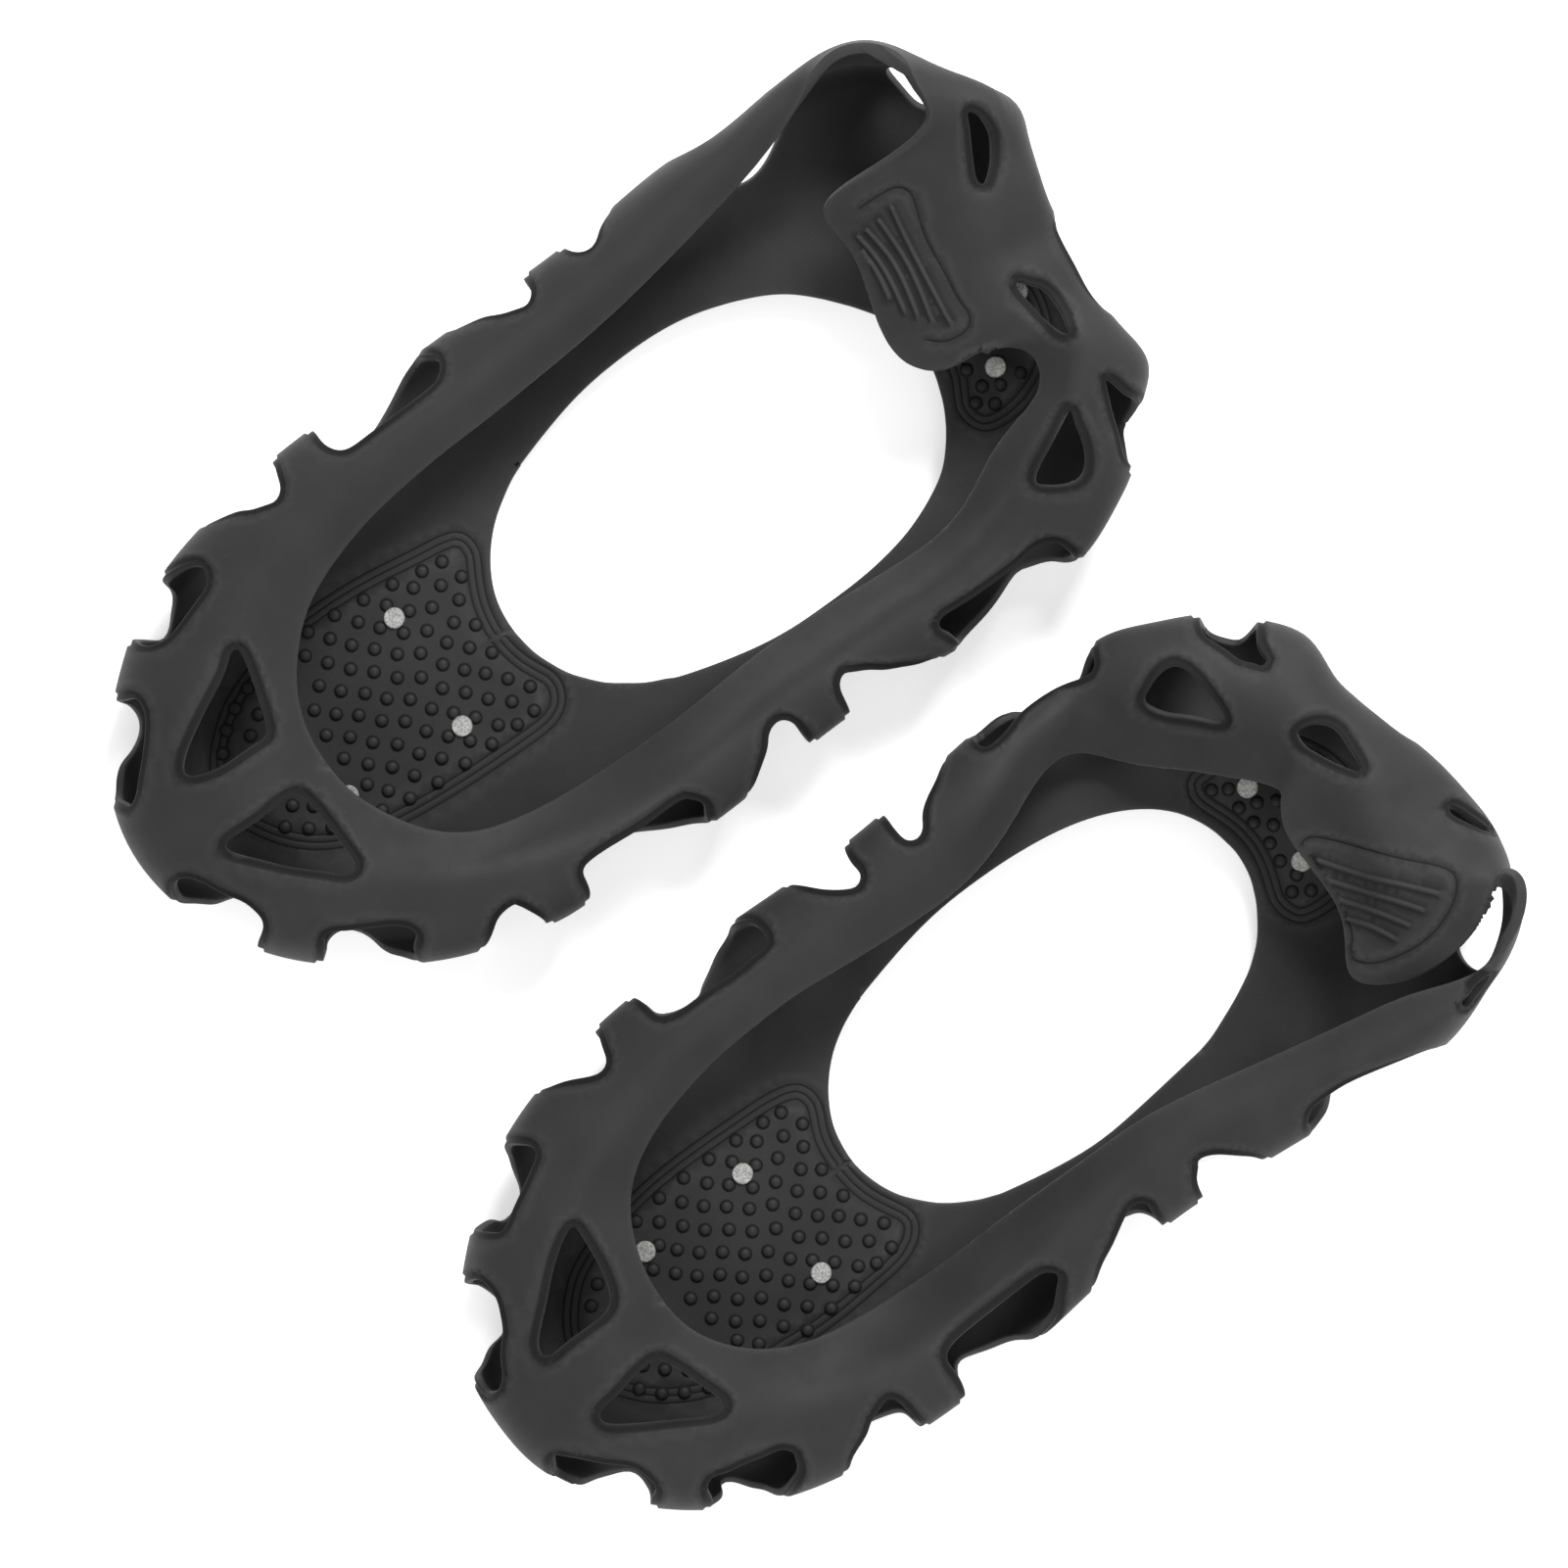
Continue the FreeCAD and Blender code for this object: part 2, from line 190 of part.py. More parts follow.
# Outlines of the openings through the wall, in cutting order. Each point: distance round
# the overshoe from the first station (mm), place across the wall (0 window edge, 1 rim).
RIGHT_OPENINGS = [
    # outer side, from the forefoot back to the heel
    [(111.2, 0.702), (103.8, 0.707), (96.4, 0.711), (91.8, 0.706), (89.9, 0.679),
     (89.0, 0.635), (89.0, 0.548), (86.2, 0.399), (83.4, 0.335), (85.3, 0.314), (91.8, 0.332),
     (99.2, 0.375), (105.7, 0.423), (110.3, 0.469), (113.1, 0.510), (115.0, 0.588),
     (116.8, 0.637), (115.9, 0.674), (114.0, 0.695)],
    [(141.8, 0.548), (141.8, 0.624), (140.9, 0.659), (139.1, 0.676), (137.2, 0.669),
     (133.5, 0.645), (130.7, 0.616), (127.0, 0.587), (123.3, 0.542), (124.2, 0.432),
     (127.0, 0.387), (131.6, 0.354), (136.3, 0.340), (140.9, 0.354), (141.8, 0.415)],
    [(153.0, 0.548), (153.9, 0.617), (155.7, 0.647), (157.6, 0.653), (159.4, 0.640),
     (161.3, 0.611), (165.0, 0.548), (167.8, 0.433), (168.7, 0.385), (164.1, 0.352),
     (157.6, 0.341), (153.9, 0.357), (153.0, 0.407)],
    [(181.7, 0.500), (186.3, 0.580), (196.2, 0.610), (205.1, 0.610), (211.5, 0.580),
     (214.2, 0.500), (211.5, 0.420), (202.9, 0.360), (192.8, 0.360), (184.3, 0.420)],
    [(234.8, 0.500), (236.5, 0.560), (241.3, 0.580), (247.1, 0.560), (249.9, 0.500),
     (249.0, 0.450), (245.6, 0.410), (241.8, 0.400), (238.2, 0.425), (235.6, 0.460)],
    # upper back of the heel, then below
    [(260.5, 0.822), (261.4, 0.788), (264.2, 0.735), (267.9, 0.692), (273.5, 0.683),
     (278.1, 0.700), (279.9, 0.715), (279.0, 0.723), (273.5, 0.725), (267.9, 0.750),
     (262.3, 0.810)],
    [(307.8, 0.721), (309.6, 0.704), (311.5, 0.689), (316.1, 0.689), (321.7, 0.715),
     (325.4, 0.757), (327.2, 0.787), (326.3, 0.798), (322.6, 0.775), (315.2, 0.735),
     (310.6, 0.728)],
    [(295.7, 0.542), (302.2, 0.572), (309.6, 0.577), (317.0, 0.582), (322.6, 0.548),
     (323.5, 0.453), (318.9, 0.458), (310.6, 0.460), (301.3, 0.464)],
    # inner side, from the heel forward to the toe
    [(339.3, 0.689), (342.1, 0.646), (343.9, 0.596), (344.8, 0.542), (348.6, 0.454),
     (351.3, 0.457), (354.1, 0.471), (356.0, 0.504), (355.0, 0.592), (351.3, 0.620),
     (347.6, 0.645), (343.9, 0.669)],
    [(346.7, 0.777), (349.5, 0.742), (353.2, 0.704), (356.9, 0.679), (360.6, 0.667),
     (362.5, 0.672), (364.3, 0.695), (365.2, 0.724), (365.2, 0.748), (363.4, 0.765),
     (359.7, 0.769), (355.0, 0.768), (349.5, 0.778)],
    [(399.5, 0.681), (394.9, 0.677), (388.4, 0.672), (381.9, 0.667), (377.3, 0.662),
     (375.4, 0.643), (375.4, 0.605), (376.4, 0.504), (377.3, 0.457), (378.2, 0.423),
     (381.0, 0.403), (382.9, 0.398), (387.5, 0.418), (393.1, 0.445), (397.7, 0.466),
     (400.5, 0.504), (401.4, 0.617), (402.3, 0.654), (401.4, 0.675)],
    [(428.3, 0.504), (427.4, 0.638), (426.4, 0.680), (424.6, 0.699), (422.7, 0.688),
     (419.9, 0.667), (417.1, 0.637), (413.4, 0.607), (409.7, 0.571), (406.9, 0.542),
     (406.9, 0.429), (408.8, 0.381), (414.4, 0.349), (421.8, 0.344), (426.4, 0.361),
     (428.3, 0.415)],
    [(439.4, 0.504), (439.4, 0.638), (440.3, 0.682), (442.2, 0.699), (445.0, 0.688),
     (446.8, 0.661), (449.6, 0.628), (452.4, 0.591), (456.1, 0.504), (455.2, 0.431),
     (451.4, 0.377), (446.8, 0.345), (441.2, 0.344), (439.4, 0.385), (439.4, 0.428)],
    [(467.2, 0.693), (472.8, 0.693), (478.3, 0.689), (483.9, 0.687), (488.5, 0.681),
     (491.3, 0.667), (492.2, 0.626), (493.2, 0.548), (495.9, 0.402), (497.8, 0.342),
     (495.9, 0.319), (490.4, 0.319), (483.9, 0.347), (479.3, 0.375), (473.7, 0.412),
     (469.1, 0.448), (466.3, 0.510), (465.4, 0.597), (464.4, 0.638), (465.4, 0.673)],
    [(503.4, 0.548), (505.2, 0.626), (507.1, 0.656), (508.0, 0.659), (510.8, 0.645),
     (512.6, 0.622), (515.4, 0.548), (518.2, 0.402), (519.1, 0.349), (518.2, 0.317),
     (513.6, 0.320), (508.0, 0.365)],
    [(528.4, 0.660), (527.5, 0.641), (528.4, 0.610), (528.4, 0.548), (531.2, 0.473),
     (534.0, 0.442), (537.7, 0.385), (541.4, 0.353), (545.1, 0.349), (546.0, 0.375),
     (545.1, 0.431), (544.1, 0.542), (544.1, 0.612), (544.1, 0.635), (543.2, 0.647),
     (540.4, 0.653), (538.6, 0.657), (534.9, 0.664), (531.2, 0.668)],
    [(570.1, 0.621), (569.2, 0.636), (566.4, 0.647), (563.6, 0.651), (560.8, 0.657),
     (559.0, 0.656), (556.2, 0.643), (555.3, 0.620), (555.3, 0.584), (555.3, 0.504),
     (556.2, 0.385), (558.1, 0.349), (561.8, 0.336), (563.6, 0.359), (564.5, 0.396),
     (566.4, 0.456), (568.2, 0.542), (569.2, 0.571), (570.1, 0.599)],
    # outer side of the toe, going back
    [(29.7, 0.592), (29.7, 0.626), (26.9, 0.648), (23.2, 0.652), (18.5, 0.647), (13.9, 0.634),
     (11.1, 0.620), (10.2, 0.603), (11.1, 0.578), (13.0, 0.504), (14.8, 0.486), (17.6, 0.450),
     (19.5, 0.391), (22.2, 0.370), (25.0, 0.378), (27.8, 0.424), (29.7, 0.542)],
    [(56.5, 0.664), (54.7, 0.688), (51.0, 0.688), (46.4, 0.677), (42.6, 0.664), (40.8, 0.647),
     (39.9, 0.619), (40.8, 0.542), (39.9, 0.390), (39.9, 0.360), (41.7, 0.358), (44.5, 0.369),
     (48.2, 0.400), (51.9, 0.548), (53.8, 0.595), (55.6, 0.624), (56.5, 0.646)],
    [(78.8, 0.548), (77.9, 0.638), (76.9, 0.670), (75.1, 0.681), (73.2, 0.671), (70.5, 0.651),
     (68.6, 0.628), (65.8, 0.599), (63.0, 0.548), (60.3, 0.394), (58.4, 0.332), (61.2, 0.306),
     (65.8, 0.300), (70.5, 0.319), (75.1, 0.378)],
    # top of the toe cap, outer then inner
    [(38.0, 0.825), (35.2, 0.855), (27.8, 0.893), (20.4, 0.914), (14.8, 0.913), (13.9, 0.896),
     (13.0, 0.844), (12.1, 0.790), (12.1, 0.741), (13.0, 0.716), (15.8, 0.716), (21.3, 0.740),
     (27.8, 0.778), (33.4, 0.808), (37.1, 0.814)],
    [(572.0, 0.904), (568.2, 0.918), (556.2, 0.900), (546.0, 0.845), (543.2, 0.815),
     (543.2, 0.787), (547.9, 0.777), (554.4, 0.765), (561.8, 0.744), (567.3, 0.723),
     (570.1, 0.720), (571.0, 0.746), (571.0, 0.813)],
]

LEFT_OPENINGS = [
    # inner side, from the forefoot back to the heel
    [(107.7, 0.703), (102.2, 0.707), (97.6, 0.702), (93.0, 0.699), (89.3, 0.694),
     (86.5, 0.676), (85.6, 0.634), (84.7, 0.548), (81.9, 0.386), (79.2, 0.323), (81.0, 0.300),
     (85.6, 0.300), (88.4, 0.316), (94.8, 0.359), (101.3, 0.412), (105.9, 0.457),
     (108.6, 0.548), (110.5, 0.591), (111.4, 0.632), (111.4, 0.674), (110.5, 0.697)],
    [(135.3, 0.504), (134.4, 0.641), (134.4, 0.693), (132.6, 0.716), (130.7, 0.709),
     (127.0, 0.671), (124.3, 0.628), (121.5, 0.548), (121.5, 0.425), (124.3, 0.381),
     (128.9, 0.347), (132.6, 0.337), (135.3, 0.374), (135.3, 0.422)],
    [(146.4, 0.504), (146.4, 0.659), (147.3, 0.706), (149.1, 0.720), (151.0, 0.707),
     (152.8, 0.671), (156.5, 0.630), (160.2, 0.595), (163.9, 0.504), (163.9, 0.428),
     (161.1, 0.367), (154.7, 0.330), (149.1, 0.331), (146.4, 0.379), (146.4, 0.421)],
    [(172.2, 0.611), (173.1, 0.645), (175.8, 0.656), (179.5, 0.650), (183.2, 0.623),
     (188.7, 0.601), (193.3, 0.617), (198.8, 0.663), (201.6, 0.666), (202.5, 0.637),
     (202.5, 0.510), (200.7, 0.470), (197.9, 0.434), (193.3, 0.417), (187.8, 0.422),
     (184.1, 0.456), (181.4, 0.494), (176.8, 0.497), (174.0, 0.493), (172.2, 0.548)],
    # round the heel, from the outer corner to the inner corner
    [(318.0, 0.500), (319.2, 0.575), (322.8, 0.600), (328.1, 0.600), (333.7, 0.585),
     (336.7, 0.500), (334.5, 0.420), (328.8, 0.380), (322.8, 0.380), (319.2, 0.410)],
    [(288.1, 0.624), (289.1, 0.613), (291.8, 0.603), (295.5, 0.591), (299.2, 0.577),
     (298.3, 0.593), (294.6, 0.615), (290.9, 0.627), (289.1, 0.630)],
    [(248.6, 0.769), (251.3, 0.733), (255.0, 0.700), (257.8, 0.696), (260.5, 0.705),
     (264.2, 0.711), (265.1, 0.719), (262.4, 0.742), (258.7, 0.765), (254.1, 0.786),
     (249.5, 0.801), (247.7, 0.792)],
    [(257.1, 0.500), (259.7, 0.535), (265.9, 0.545), (272.0, 0.535), (274.5, 0.490),
     (272.0, 0.440), (265.9, 0.420), (259.7, 0.430)],
    [(236.6, 0.676), (237.5, 0.677), (238.4, 0.666), (236.6, 0.641), (235.7, 0.504),
     (233.8, 0.426), (232.0, 0.421), (229.2, 0.427), (227.4, 0.441), (225.6, 0.504),
     (225.6, 0.616), (227.4, 0.640), (231.1, 0.662), (233.8, 0.675)],
    [(219.1, 0.701), (221.9, 0.712), (224.6, 0.737), (227.4, 0.778), (229.2, 0.820),
     (228.3, 0.843), (225.6, 0.848), (220.0, 0.845), (215.4, 0.843), (212.7, 0.832),
     (210.8, 0.809), (212.7, 0.768), (215.4, 0.729)],
    # outer side, from the heel forward to the toe
    [(385.7, 0.665), (388.5, 0.656), (390.3, 0.632), (391.3, 0.599), (389.4, 0.510),
     (385.7, 0.467), (380.2, 0.415), (372.9, 0.366), (360.9, 0.318), (353.5, 0.331),
     (354.4, 0.393), (358.1, 0.561), (360.9, 0.618), (366.4, 0.643), (372.9, 0.662),
     (380.2, 0.673)],
    [(418.9, 0.504), (418.0, 0.644), (416.1, 0.680), (415.2, 0.696), (412.4, 0.687),
     (409.7, 0.662), (406.9, 0.629), (405.1, 0.599), (403.2, 0.504), (402.3, 0.422),
     (405.1, 0.369), (410.6, 0.335), (415.2, 0.332), (418.0, 0.364), (418.9, 0.420)],
    [(429.9, 0.504), (429.9, 0.647), (429.9, 0.678), (431.8, 0.695), (434.5, 0.687),
     (438.2, 0.661), (441.9, 0.635), (446.5, 0.601), (450.2, 0.504), (448.3, 0.419),
     (443.7, 0.383), (439.1, 0.369), (435.4, 0.384), (432.7, 0.397), (430.9, 0.426)],
    [(457.6, 0.718), (463.1, 0.729), (469.5, 0.734), (476.0, 0.733), (480.6, 0.724),
     (482.4, 0.703), (482.4, 0.658), (483.3, 0.542), (485.2, 0.387), (485.2, 0.353),
     (482.4, 0.360), (476.0, 0.395), (469.5, 0.440), (464.0, 0.542), (461.2, 0.574),
     (458.5, 0.615), (456.6, 0.648), (454.8, 0.677), (455.7, 0.703)],
    [(493.4, 0.548), (494.4, 0.635), (495.3, 0.677), (497.1, 0.699), (499.0, 0.691),
     (501.7, 0.671), (503.6, 0.646), (507.3, 0.608), (509.1, 0.548), (511.9, 0.372),
     (509.1, 0.343), (505.4, 0.347), (501.7, 0.359), (498.1, 0.389)],
    [(518.3, 0.666), (520.1, 0.683), (523.8, 0.680), (528.4, 0.671), (532.1, 0.658),
     (534.0, 0.652), (534.9, 0.626), (534.0, 0.586), (534.0, 0.510), (533.0, 0.443),
     (534.0, 0.382), (532.1, 0.384), (528.4, 0.421), (525.7, 0.451), (522.0, 0.542),
     (520.1, 0.598), (518.3, 0.633), (518.3, 0.654)],
    [(561.6, 0.613), (559.7, 0.629), (557.0, 0.640), (553.3, 0.650), (549.6, 0.658),
     (546.9, 0.650), (544.1, 0.624), (544.1, 0.586), (544.1, 0.523), (545.9, 0.420),
     (548.7, 0.374), (550.5, 0.370), (552.4, 0.397), (554.2, 0.460), (556.1, 0.523),
     (557.9, 0.523), (559.7, 0.556), (560.7, 0.589)],
    # inner side of the toe, going back
    [(25.8, 0.504), (26.7, 0.598), (25.8, 0.629), (23.0, 0.653), (19.3, 0.662), (15.7, 0.662),
     (12.0, 0.649), (8.3, 0.638), (6.4, 0.618), (6.4, 0.587), (7.4, 0.560), (9.2, 0.542),
     (11.1, 0.431), (12.9, 0.371), (13.8, 0.340), (16.6, 0.337), (19.3, 0.342), (23.0, 0.382),
     (24.9, 0.448)],
    [(51.5, 0.628), (51.5, 0.653), (48.8, 0.663), (43.3, 0.663), (38.7, 0.657), (35.9, 0.650),
     (35.0, 0.622), (35.0, 0.504), (35.0, 0.396), (34.1, 0.354), (35.9, 0.338), (38.7, 0.342),
     (43.3, 0.384), (47.0, 0.453), (49.7, 0.548), (50.6, 0.598)],
    [(74.6, 0.548), (73.7, 0.627), (72.7, 0.663), (70.9, 0.668), (68.1, 0.649), (65.4, 0.621),
     (62.6, 0.588), (60.8, 0.548), (58.0, 0.394), (56.2, 0.332), (58.0, 0.300), (62.6, 0.300),
     (69.0, 0.354)],
    # upper outer corner of the heel
    [(342.5, 0.844), (342.5, 0.771), (345.2, 0.716), (347.1, 0.688), (348.9, 0.719),
     (348.9, 0.760), (347.1, 0.787), (345.2, 0.845)],
    # top of the toe cap, inner then outer
    [(32.2, 0.820), (29.5, 0.847), (21.2, 0.889), (13.8, 0.910), (8.3, 0.905), (6.4, 0.881),
     (6.4, 0.816), (6.4, 0.756), (6.4, 0.722), (8.3, 0.714), (11.1, 0.720), (17.5, 0.748),
     (24.9, 0.772), (30.4, 0.797)],
    [(559.7, 0.896), (557.0, 0.906), (550.5, 0.900), (541.3, 0.866), (536.7, 0.834),
     (535.8, 0.809), (537.6, 0.793), (543.2, 0.778), (549.6, 0.754), (556.1, 0.722),
     (558.8, 0.712), (560.7, 0.721), (560.7, 0.759), (560.7, 0.823)],
]

# front_bend, rear_bend: the two stations at which each division plane crosses the side bands.
# bands: names of the side bands in the order of the stations.
# flap, tab: stations between which the back wall and the pull tab lie.
# Studs and tread pad outlines are (x, y).
RIGHT = dict(
    name="right", stations=RIGHT_STATIONS, openings=RIGHT_OPENINGS,
    front_bend=(10, 41), rear_bend=(13, 38), bands=("outer", "inner"),
    flap=(21.5, 29.6), tab=(22.9, 28.2),
    fore_studs=[(-81.9, -44.1), (-54.4, -46.1), (-84.9, -71.9), (-56.8, -74.8), (-72.5, -86.5)],
    heel_studs=[(-48.7, 92.6), (-68.6, 93.2), (-59.0, 106.0)],
    fore_pad=[
        (-88.7, -22), (-91.2, -30.5), (-93.2, -42.5), (-94.3, -54), (-94, -66), (-92, -75.5),
        (-89, -84), (-84.2, -91), (-78.5, -96), (-70.5, -98.5), (-63.2, -96.5), (-55.2, -91.3),
        (-49.2, -83.5), (-46.2, -75), (-44, -62), (-42.9, -47.5), (-42.5, -35.5),
        (-43.2, -28.5), (-46.2, -24.5), (-51.2, -23.2), (-57.2, -25.5), (-65.2, -27),
        (-73.2, -25.6), (-79.2, -22.6), (-83.7, -20.6)],
    heel_pad=[
        (-79, 85.5), (-78.3, 82.3), (-75.3, 80.6), (-71.3, 81.4), (-65.3, 83.8), (-58.8, 84.8),
        (-52.3, 83.6), (-47.3, 80.9), (-43.3, 80.4), (-39.3, 82.2), (-37.7, 86), (-37.8, 92),
        (-40.3, 99.5), (-46.3, 106.5), (-54.3, 110.3), (-61.3, 110.6), (-69.3, 108),
        (-75.3, 102), (-78.3, 94)])
LEFT = dict(
    name="left", stations=LEFT_STATIONS, openings=LEFT_OPENINGS,
    front_bend=(10, 42), rear_bend=(13, 39), bands=("inner", "outer"),
    flap=(20.9, 30.3), tab=(22.2, 29.0),
    fore_studs=[(86.6, -53.5), (59.3, -54.5), (89.9, -80.4), (60.4, -81.4), (75.0, -94.8)],
    heel_studs=[(56.6, 82.7), (76.4, 82.7), (66.8, 96.2)],
    fore_pad=[
        (51.3, -33), (48.8, -38.5), (48.1, -47.5), (47.8, -62.5), (48.6, -75.5), (51.5, -89.5),
        (54.3, -96.5), (58.8, -102), (65.3, -106.5), (72.8, -108), (80.3, -105.5),
        (86.8, -100.5), (91.8, -93.5), (94.8, -85.5), (96.3, -72.5), (97.3, -59.5),
        (96.6, -45.5), (95.3, -36.5), (92.3, -31.5), (88.3, -29.8), (82.8, -32), (76.8, -34.5),
        (69.8, -35.3), (62.8, -34.3), (56.8, -31.8)],
    heel_pad=[
        (47.1, 77), (47.6, 73.5), (50.8, 71.6), (54.8, 72.1), (60.8, 74.3), (67.3, 75.2),
        (73.8, 74), (78.8, 72.3), (82.8, 72.3), (86.8, 74.5), (88.3, 78.5), (88.3, 84.5),
        (85.8, 92), (79.8, 99), (71.8, 102.5), (64.8, 102.8), (56.8, 100.3), (50.8, 94.5),
        (47.8, 86.5)])


# ---------------------------------------------------------------- control rows
def mix(start, end, share):
    return tuple(p + (q - p) * share for p, q in zip(start, end))


def towards(start, end, distance):
    """The (x, y) this far from start towards end."""
    share = distance / math.hypot(end[0] - start[0], end[1] - start[1])
    return mix(start[:2], end[:2], share)


def control_points(station):
    """The nine mid-wall points of a station, one for each of ROWS."""
    window, widest, crest, rim, sole_short = station
    height = widest[2]
    widest = (*towards(widest, window, OUTLINE_INSET), height)
    edge = (*towards(widest, window, sole_short - OUTLINE_INSET), SOLE_MID_Z + SOLE_EDGE_LIFT)
    window = (*window, SOLE_MID_Z)
    lower = (*mix(edge, widest, LOWER_REACH)[:2],
             SOLE_MID_Z + LOWER_RISE * (height - SOLE_MID_Z))
    shoulder = (*mix(widest, crest, SHOULDER_REACH)[:2],
                height + SHOULDER_RISE * (crest[2] - height))
    x, y, z = mix(crest, rim, 0.5)
    upper = (x, y, z + UPPER_LIFT)
    return [window, mix(window, edge, 0.5), edge, lower, widest, shoulder, crest, upper, rim]


# ---------------------------------------------------------------- cubic splines
def solve_tridiagonal(below, diagonal, above, right):
    n = len(diagonal)
    ratio, x = [above[0] / diagonal[0]], [right[0] / diagonal[0]]
    for i in range(1, n):
        pivot = diagonal[i] - below[i] * ratio[i - 1]
        ratio.append(above[i] / pivot)
        x.append((right[i] - below[i] * x[i - 1]) / pivot)
    for i in range(n - 2, -1, -1):
        x[i] -= ratio[i] * x[i + 1]
    return x


def open_curvatures(knots, values):
    """Second derivatives of the spline with free ends."""
    n = len(values)
    below, diagonal, above, right = [0.0] * n, [1.0] * n, [0.0] * n, [0.0] * n
    for i in range(1, n - 1):
        h0, h1 = knots[i] - knots[i - 1], knots[i + 1] - knots[i]
        below[i], diagonal[i], above[i] = h0, 2 * (h0 + h1), h1
        right[i] = 6 * ((values[i + 1] - values[i]) / h1 - (values[i] - values[i - 1]) / h0)
    return solve_tridiagonal(below, diagonal, above, right)


def closed_curvatures(knots, values):
    """Second derivatives of the closed spline. The last knot closes onto the first value."""
    n = len(values)
    gaps = [knots[i + 1] - knots[i] for i in range(n)]
    slopes = [(values[(i + 1) % n] - values[i]) / gaps[i] for i in range(n)]
    below = [gaps[i - 1] for i in range(n)]
    diagonal = [2 * (gaps[i - 1] + gaps[i]) for i in range(n)]
    right = [6 * (slopes[i] - slopes[i - 1]) for i in range(n)]
    # Sherman-Morrison: take the two corner terms out, solve, and put them back
    corner, shift = gaps[-1], -diagonal[0]
    diagonal[0] -= shift
    diagonal[-1] -= corner * corner / shift
    x = solve_tridiagonal(below, diagonal, gaps, right)
    z = solve_tridiagonal(below, diagonal, gaps, [shift] + [0.0] * (n - 2) + [corner])
    factor = (x[0] + corner * x[-1] / shift) / (1.0 + z[0] + corner * z[-1] / shift)
    return [x[i] - factor * z[i] for i in range(n)]


def spline_value(start, end, curve_start, curve_end, gap, b):
    """Value at the share b of the way along one span."""
    a = 1 - b
    bend = (a ** 3 - a) * curve_start + (b ** 3 - b) * curve_end
    return a * start + b * end + bend * gap * gap / 6


# ---------------------------------------------------------------- moulding surface
class Moulding:
    """The middle surface of one overshoe: u runs round it in millimetres, v across the wall
    from the window edge (0) to the rim (1)."""

    def __init__(self, side):
        self.controls = [control_points(s) for s in side["stations"]]
        self.n = len(self.controls)
        self.at = [0.0]
        for i, here in enumerate(self.controls):
            ahead = self.controls[(i + 1) % self.n]
            # mean spacing of the widest line, the crest and the rim
            spacing = sum(math.dist(here[k], ahead[k]) for k in (4, 6, 8)) / 3
            self.at.append(self.at[-1] + max(2.0, spacing))
        self.length = self.at[-1]
        self.curves = [[closed_curvatures(self.at, [p[k][c] for p in self.controls])
                        for c in range(3)] for k in range(len(ROWS))]
        self.sections = {}
        self.tools = [opening_tool(self, loop) for loop in side["openings"]]

    def u(self, station):
        i = int(station)
        return self.at[i] + (station - i) * (self.at[i + 1] - self.at[i])

    def section(self, u):
        """The nine row points at u and the curvatures of the spline through them."""
        u %= self.length
        key = round(u, 6)
        if key not in self.sections:
            i = bisect_right(self.at, u, 0, self.n) - 1
            j = (i + 1) % self.n
            gap = self.at[i + 1] - self.at[i]
            b = (u - self.at[i]) / gap
            points = [[spline_value(self.controls[i][k][c], self.controls[j][k][c],
                                    self.curves[k][c][i], self.curves[k][c][j], gap, b)
                       for c in range(3)] for k in range(len(ROWS))]
            curves = [open_curvatures(ROWS, [p[c] for p in points]) for c in range(3)]
            self.sections[key] = points, curves
        return self.sections[key]

    def point(self, u, v):
        points, curves = self.section(u)
        j = bisect_left(ROWS, v, 1, len(ROWS) - 1)
        i = j - 1
        gap = ROWS[j] - ROWS[i]
        b = (v - ROWS[i]) / gap
        return FreeCAD.Vector(*[spline_value(points[i][c], points[j][c], curves[c][i],
                                             curves[c][j], gap, b) for c in range(3)])

    def normal(self, u, v):
        """Towards the shoe: up off the sole, down off the top of the toe cap."""
        du, dv = 0.05, 0.004
        along = self.point(u + du, v) - self.point(u - du, v)
        across = self.point(u, v + dv) - self.point(u, v - dv)
        return along.cross(across).normalize()

    def pierce(self, shape):
        """Cut the openings that reach this shape."""
        for tool in self.tools:
            if tool.BoundBox.intersect(shape.BoundBox):
                cut = shape.cut(tool)
                # guards against a failed boolean: the opening is then left closed
                if cut.isValid() and cut.Volume > 0.7 * shape.Volume:
                    shape = cut
        return shape


# ---------------------------------------------------------------- solids
def polygon_face(points):
    return Part.Face(Part.makePolygon(points + [points[0]]))


def with_midpoints(loop):
    """The closed loop with a Catmull-Rom point added in the middle of each side."""
    n = len(loop)
    out = []
    for i, here in enumerate(loop):
        before, after, beyond = loop[i - 1], loop[(i + 1) % n], loop[(i + 2) % n]
        out.append(here)
        out.append(tuple((9 * (here[c] + after[c]) - before[c] - beyond[c]) / 16
                         for c in (0, 1)))
    return out


def opening_tool(ring, loop):
    """A prism through the wall, square to it on average, with the outline of one opening."""
    loop = with_midpoints(loop)
    points = [ring.point(u, v) for u, v in loop]
    axis = sum((ring.normal(u, v) for u, v in loop), FreeCAD.Vector())
    axis.normalize()
    centre = sum(points, FreeCAD.Vector()) * (1.0 / len(points))
    depths = [(p - centre).dot(axis) for p in points]
    low, high = min(depths) - TOOL_MARGIN, max(depths) + TOOL_MARGIN
    flat = [p - axis * (depth - low) for p, depth in zip(points, depths)]
    outline = [flat[0]]
    for p in flat[1:]:
        if p.distanceToPoint(outline[-1]) > TOOL_MIN_EDGE:
            outline.append(p)
    if outline[0].distanceToPoint(outline[-1]) < TOOL_MIN_EDGE:
        outline.pop()
    return polygon_face(outline).extrude(axis * (high - low))


def spaced(*marks):
    """Places round the moulding: mark, cells to the next mark, mark, cells, mark."""
    out = [marks[0]]
    for k in range(0, len(marks) - 2, 2):
        a, n, b = marks[k:k + 3]
        out += [a + (b - a) * i / n for i in range(1, n + 1)]
    return out


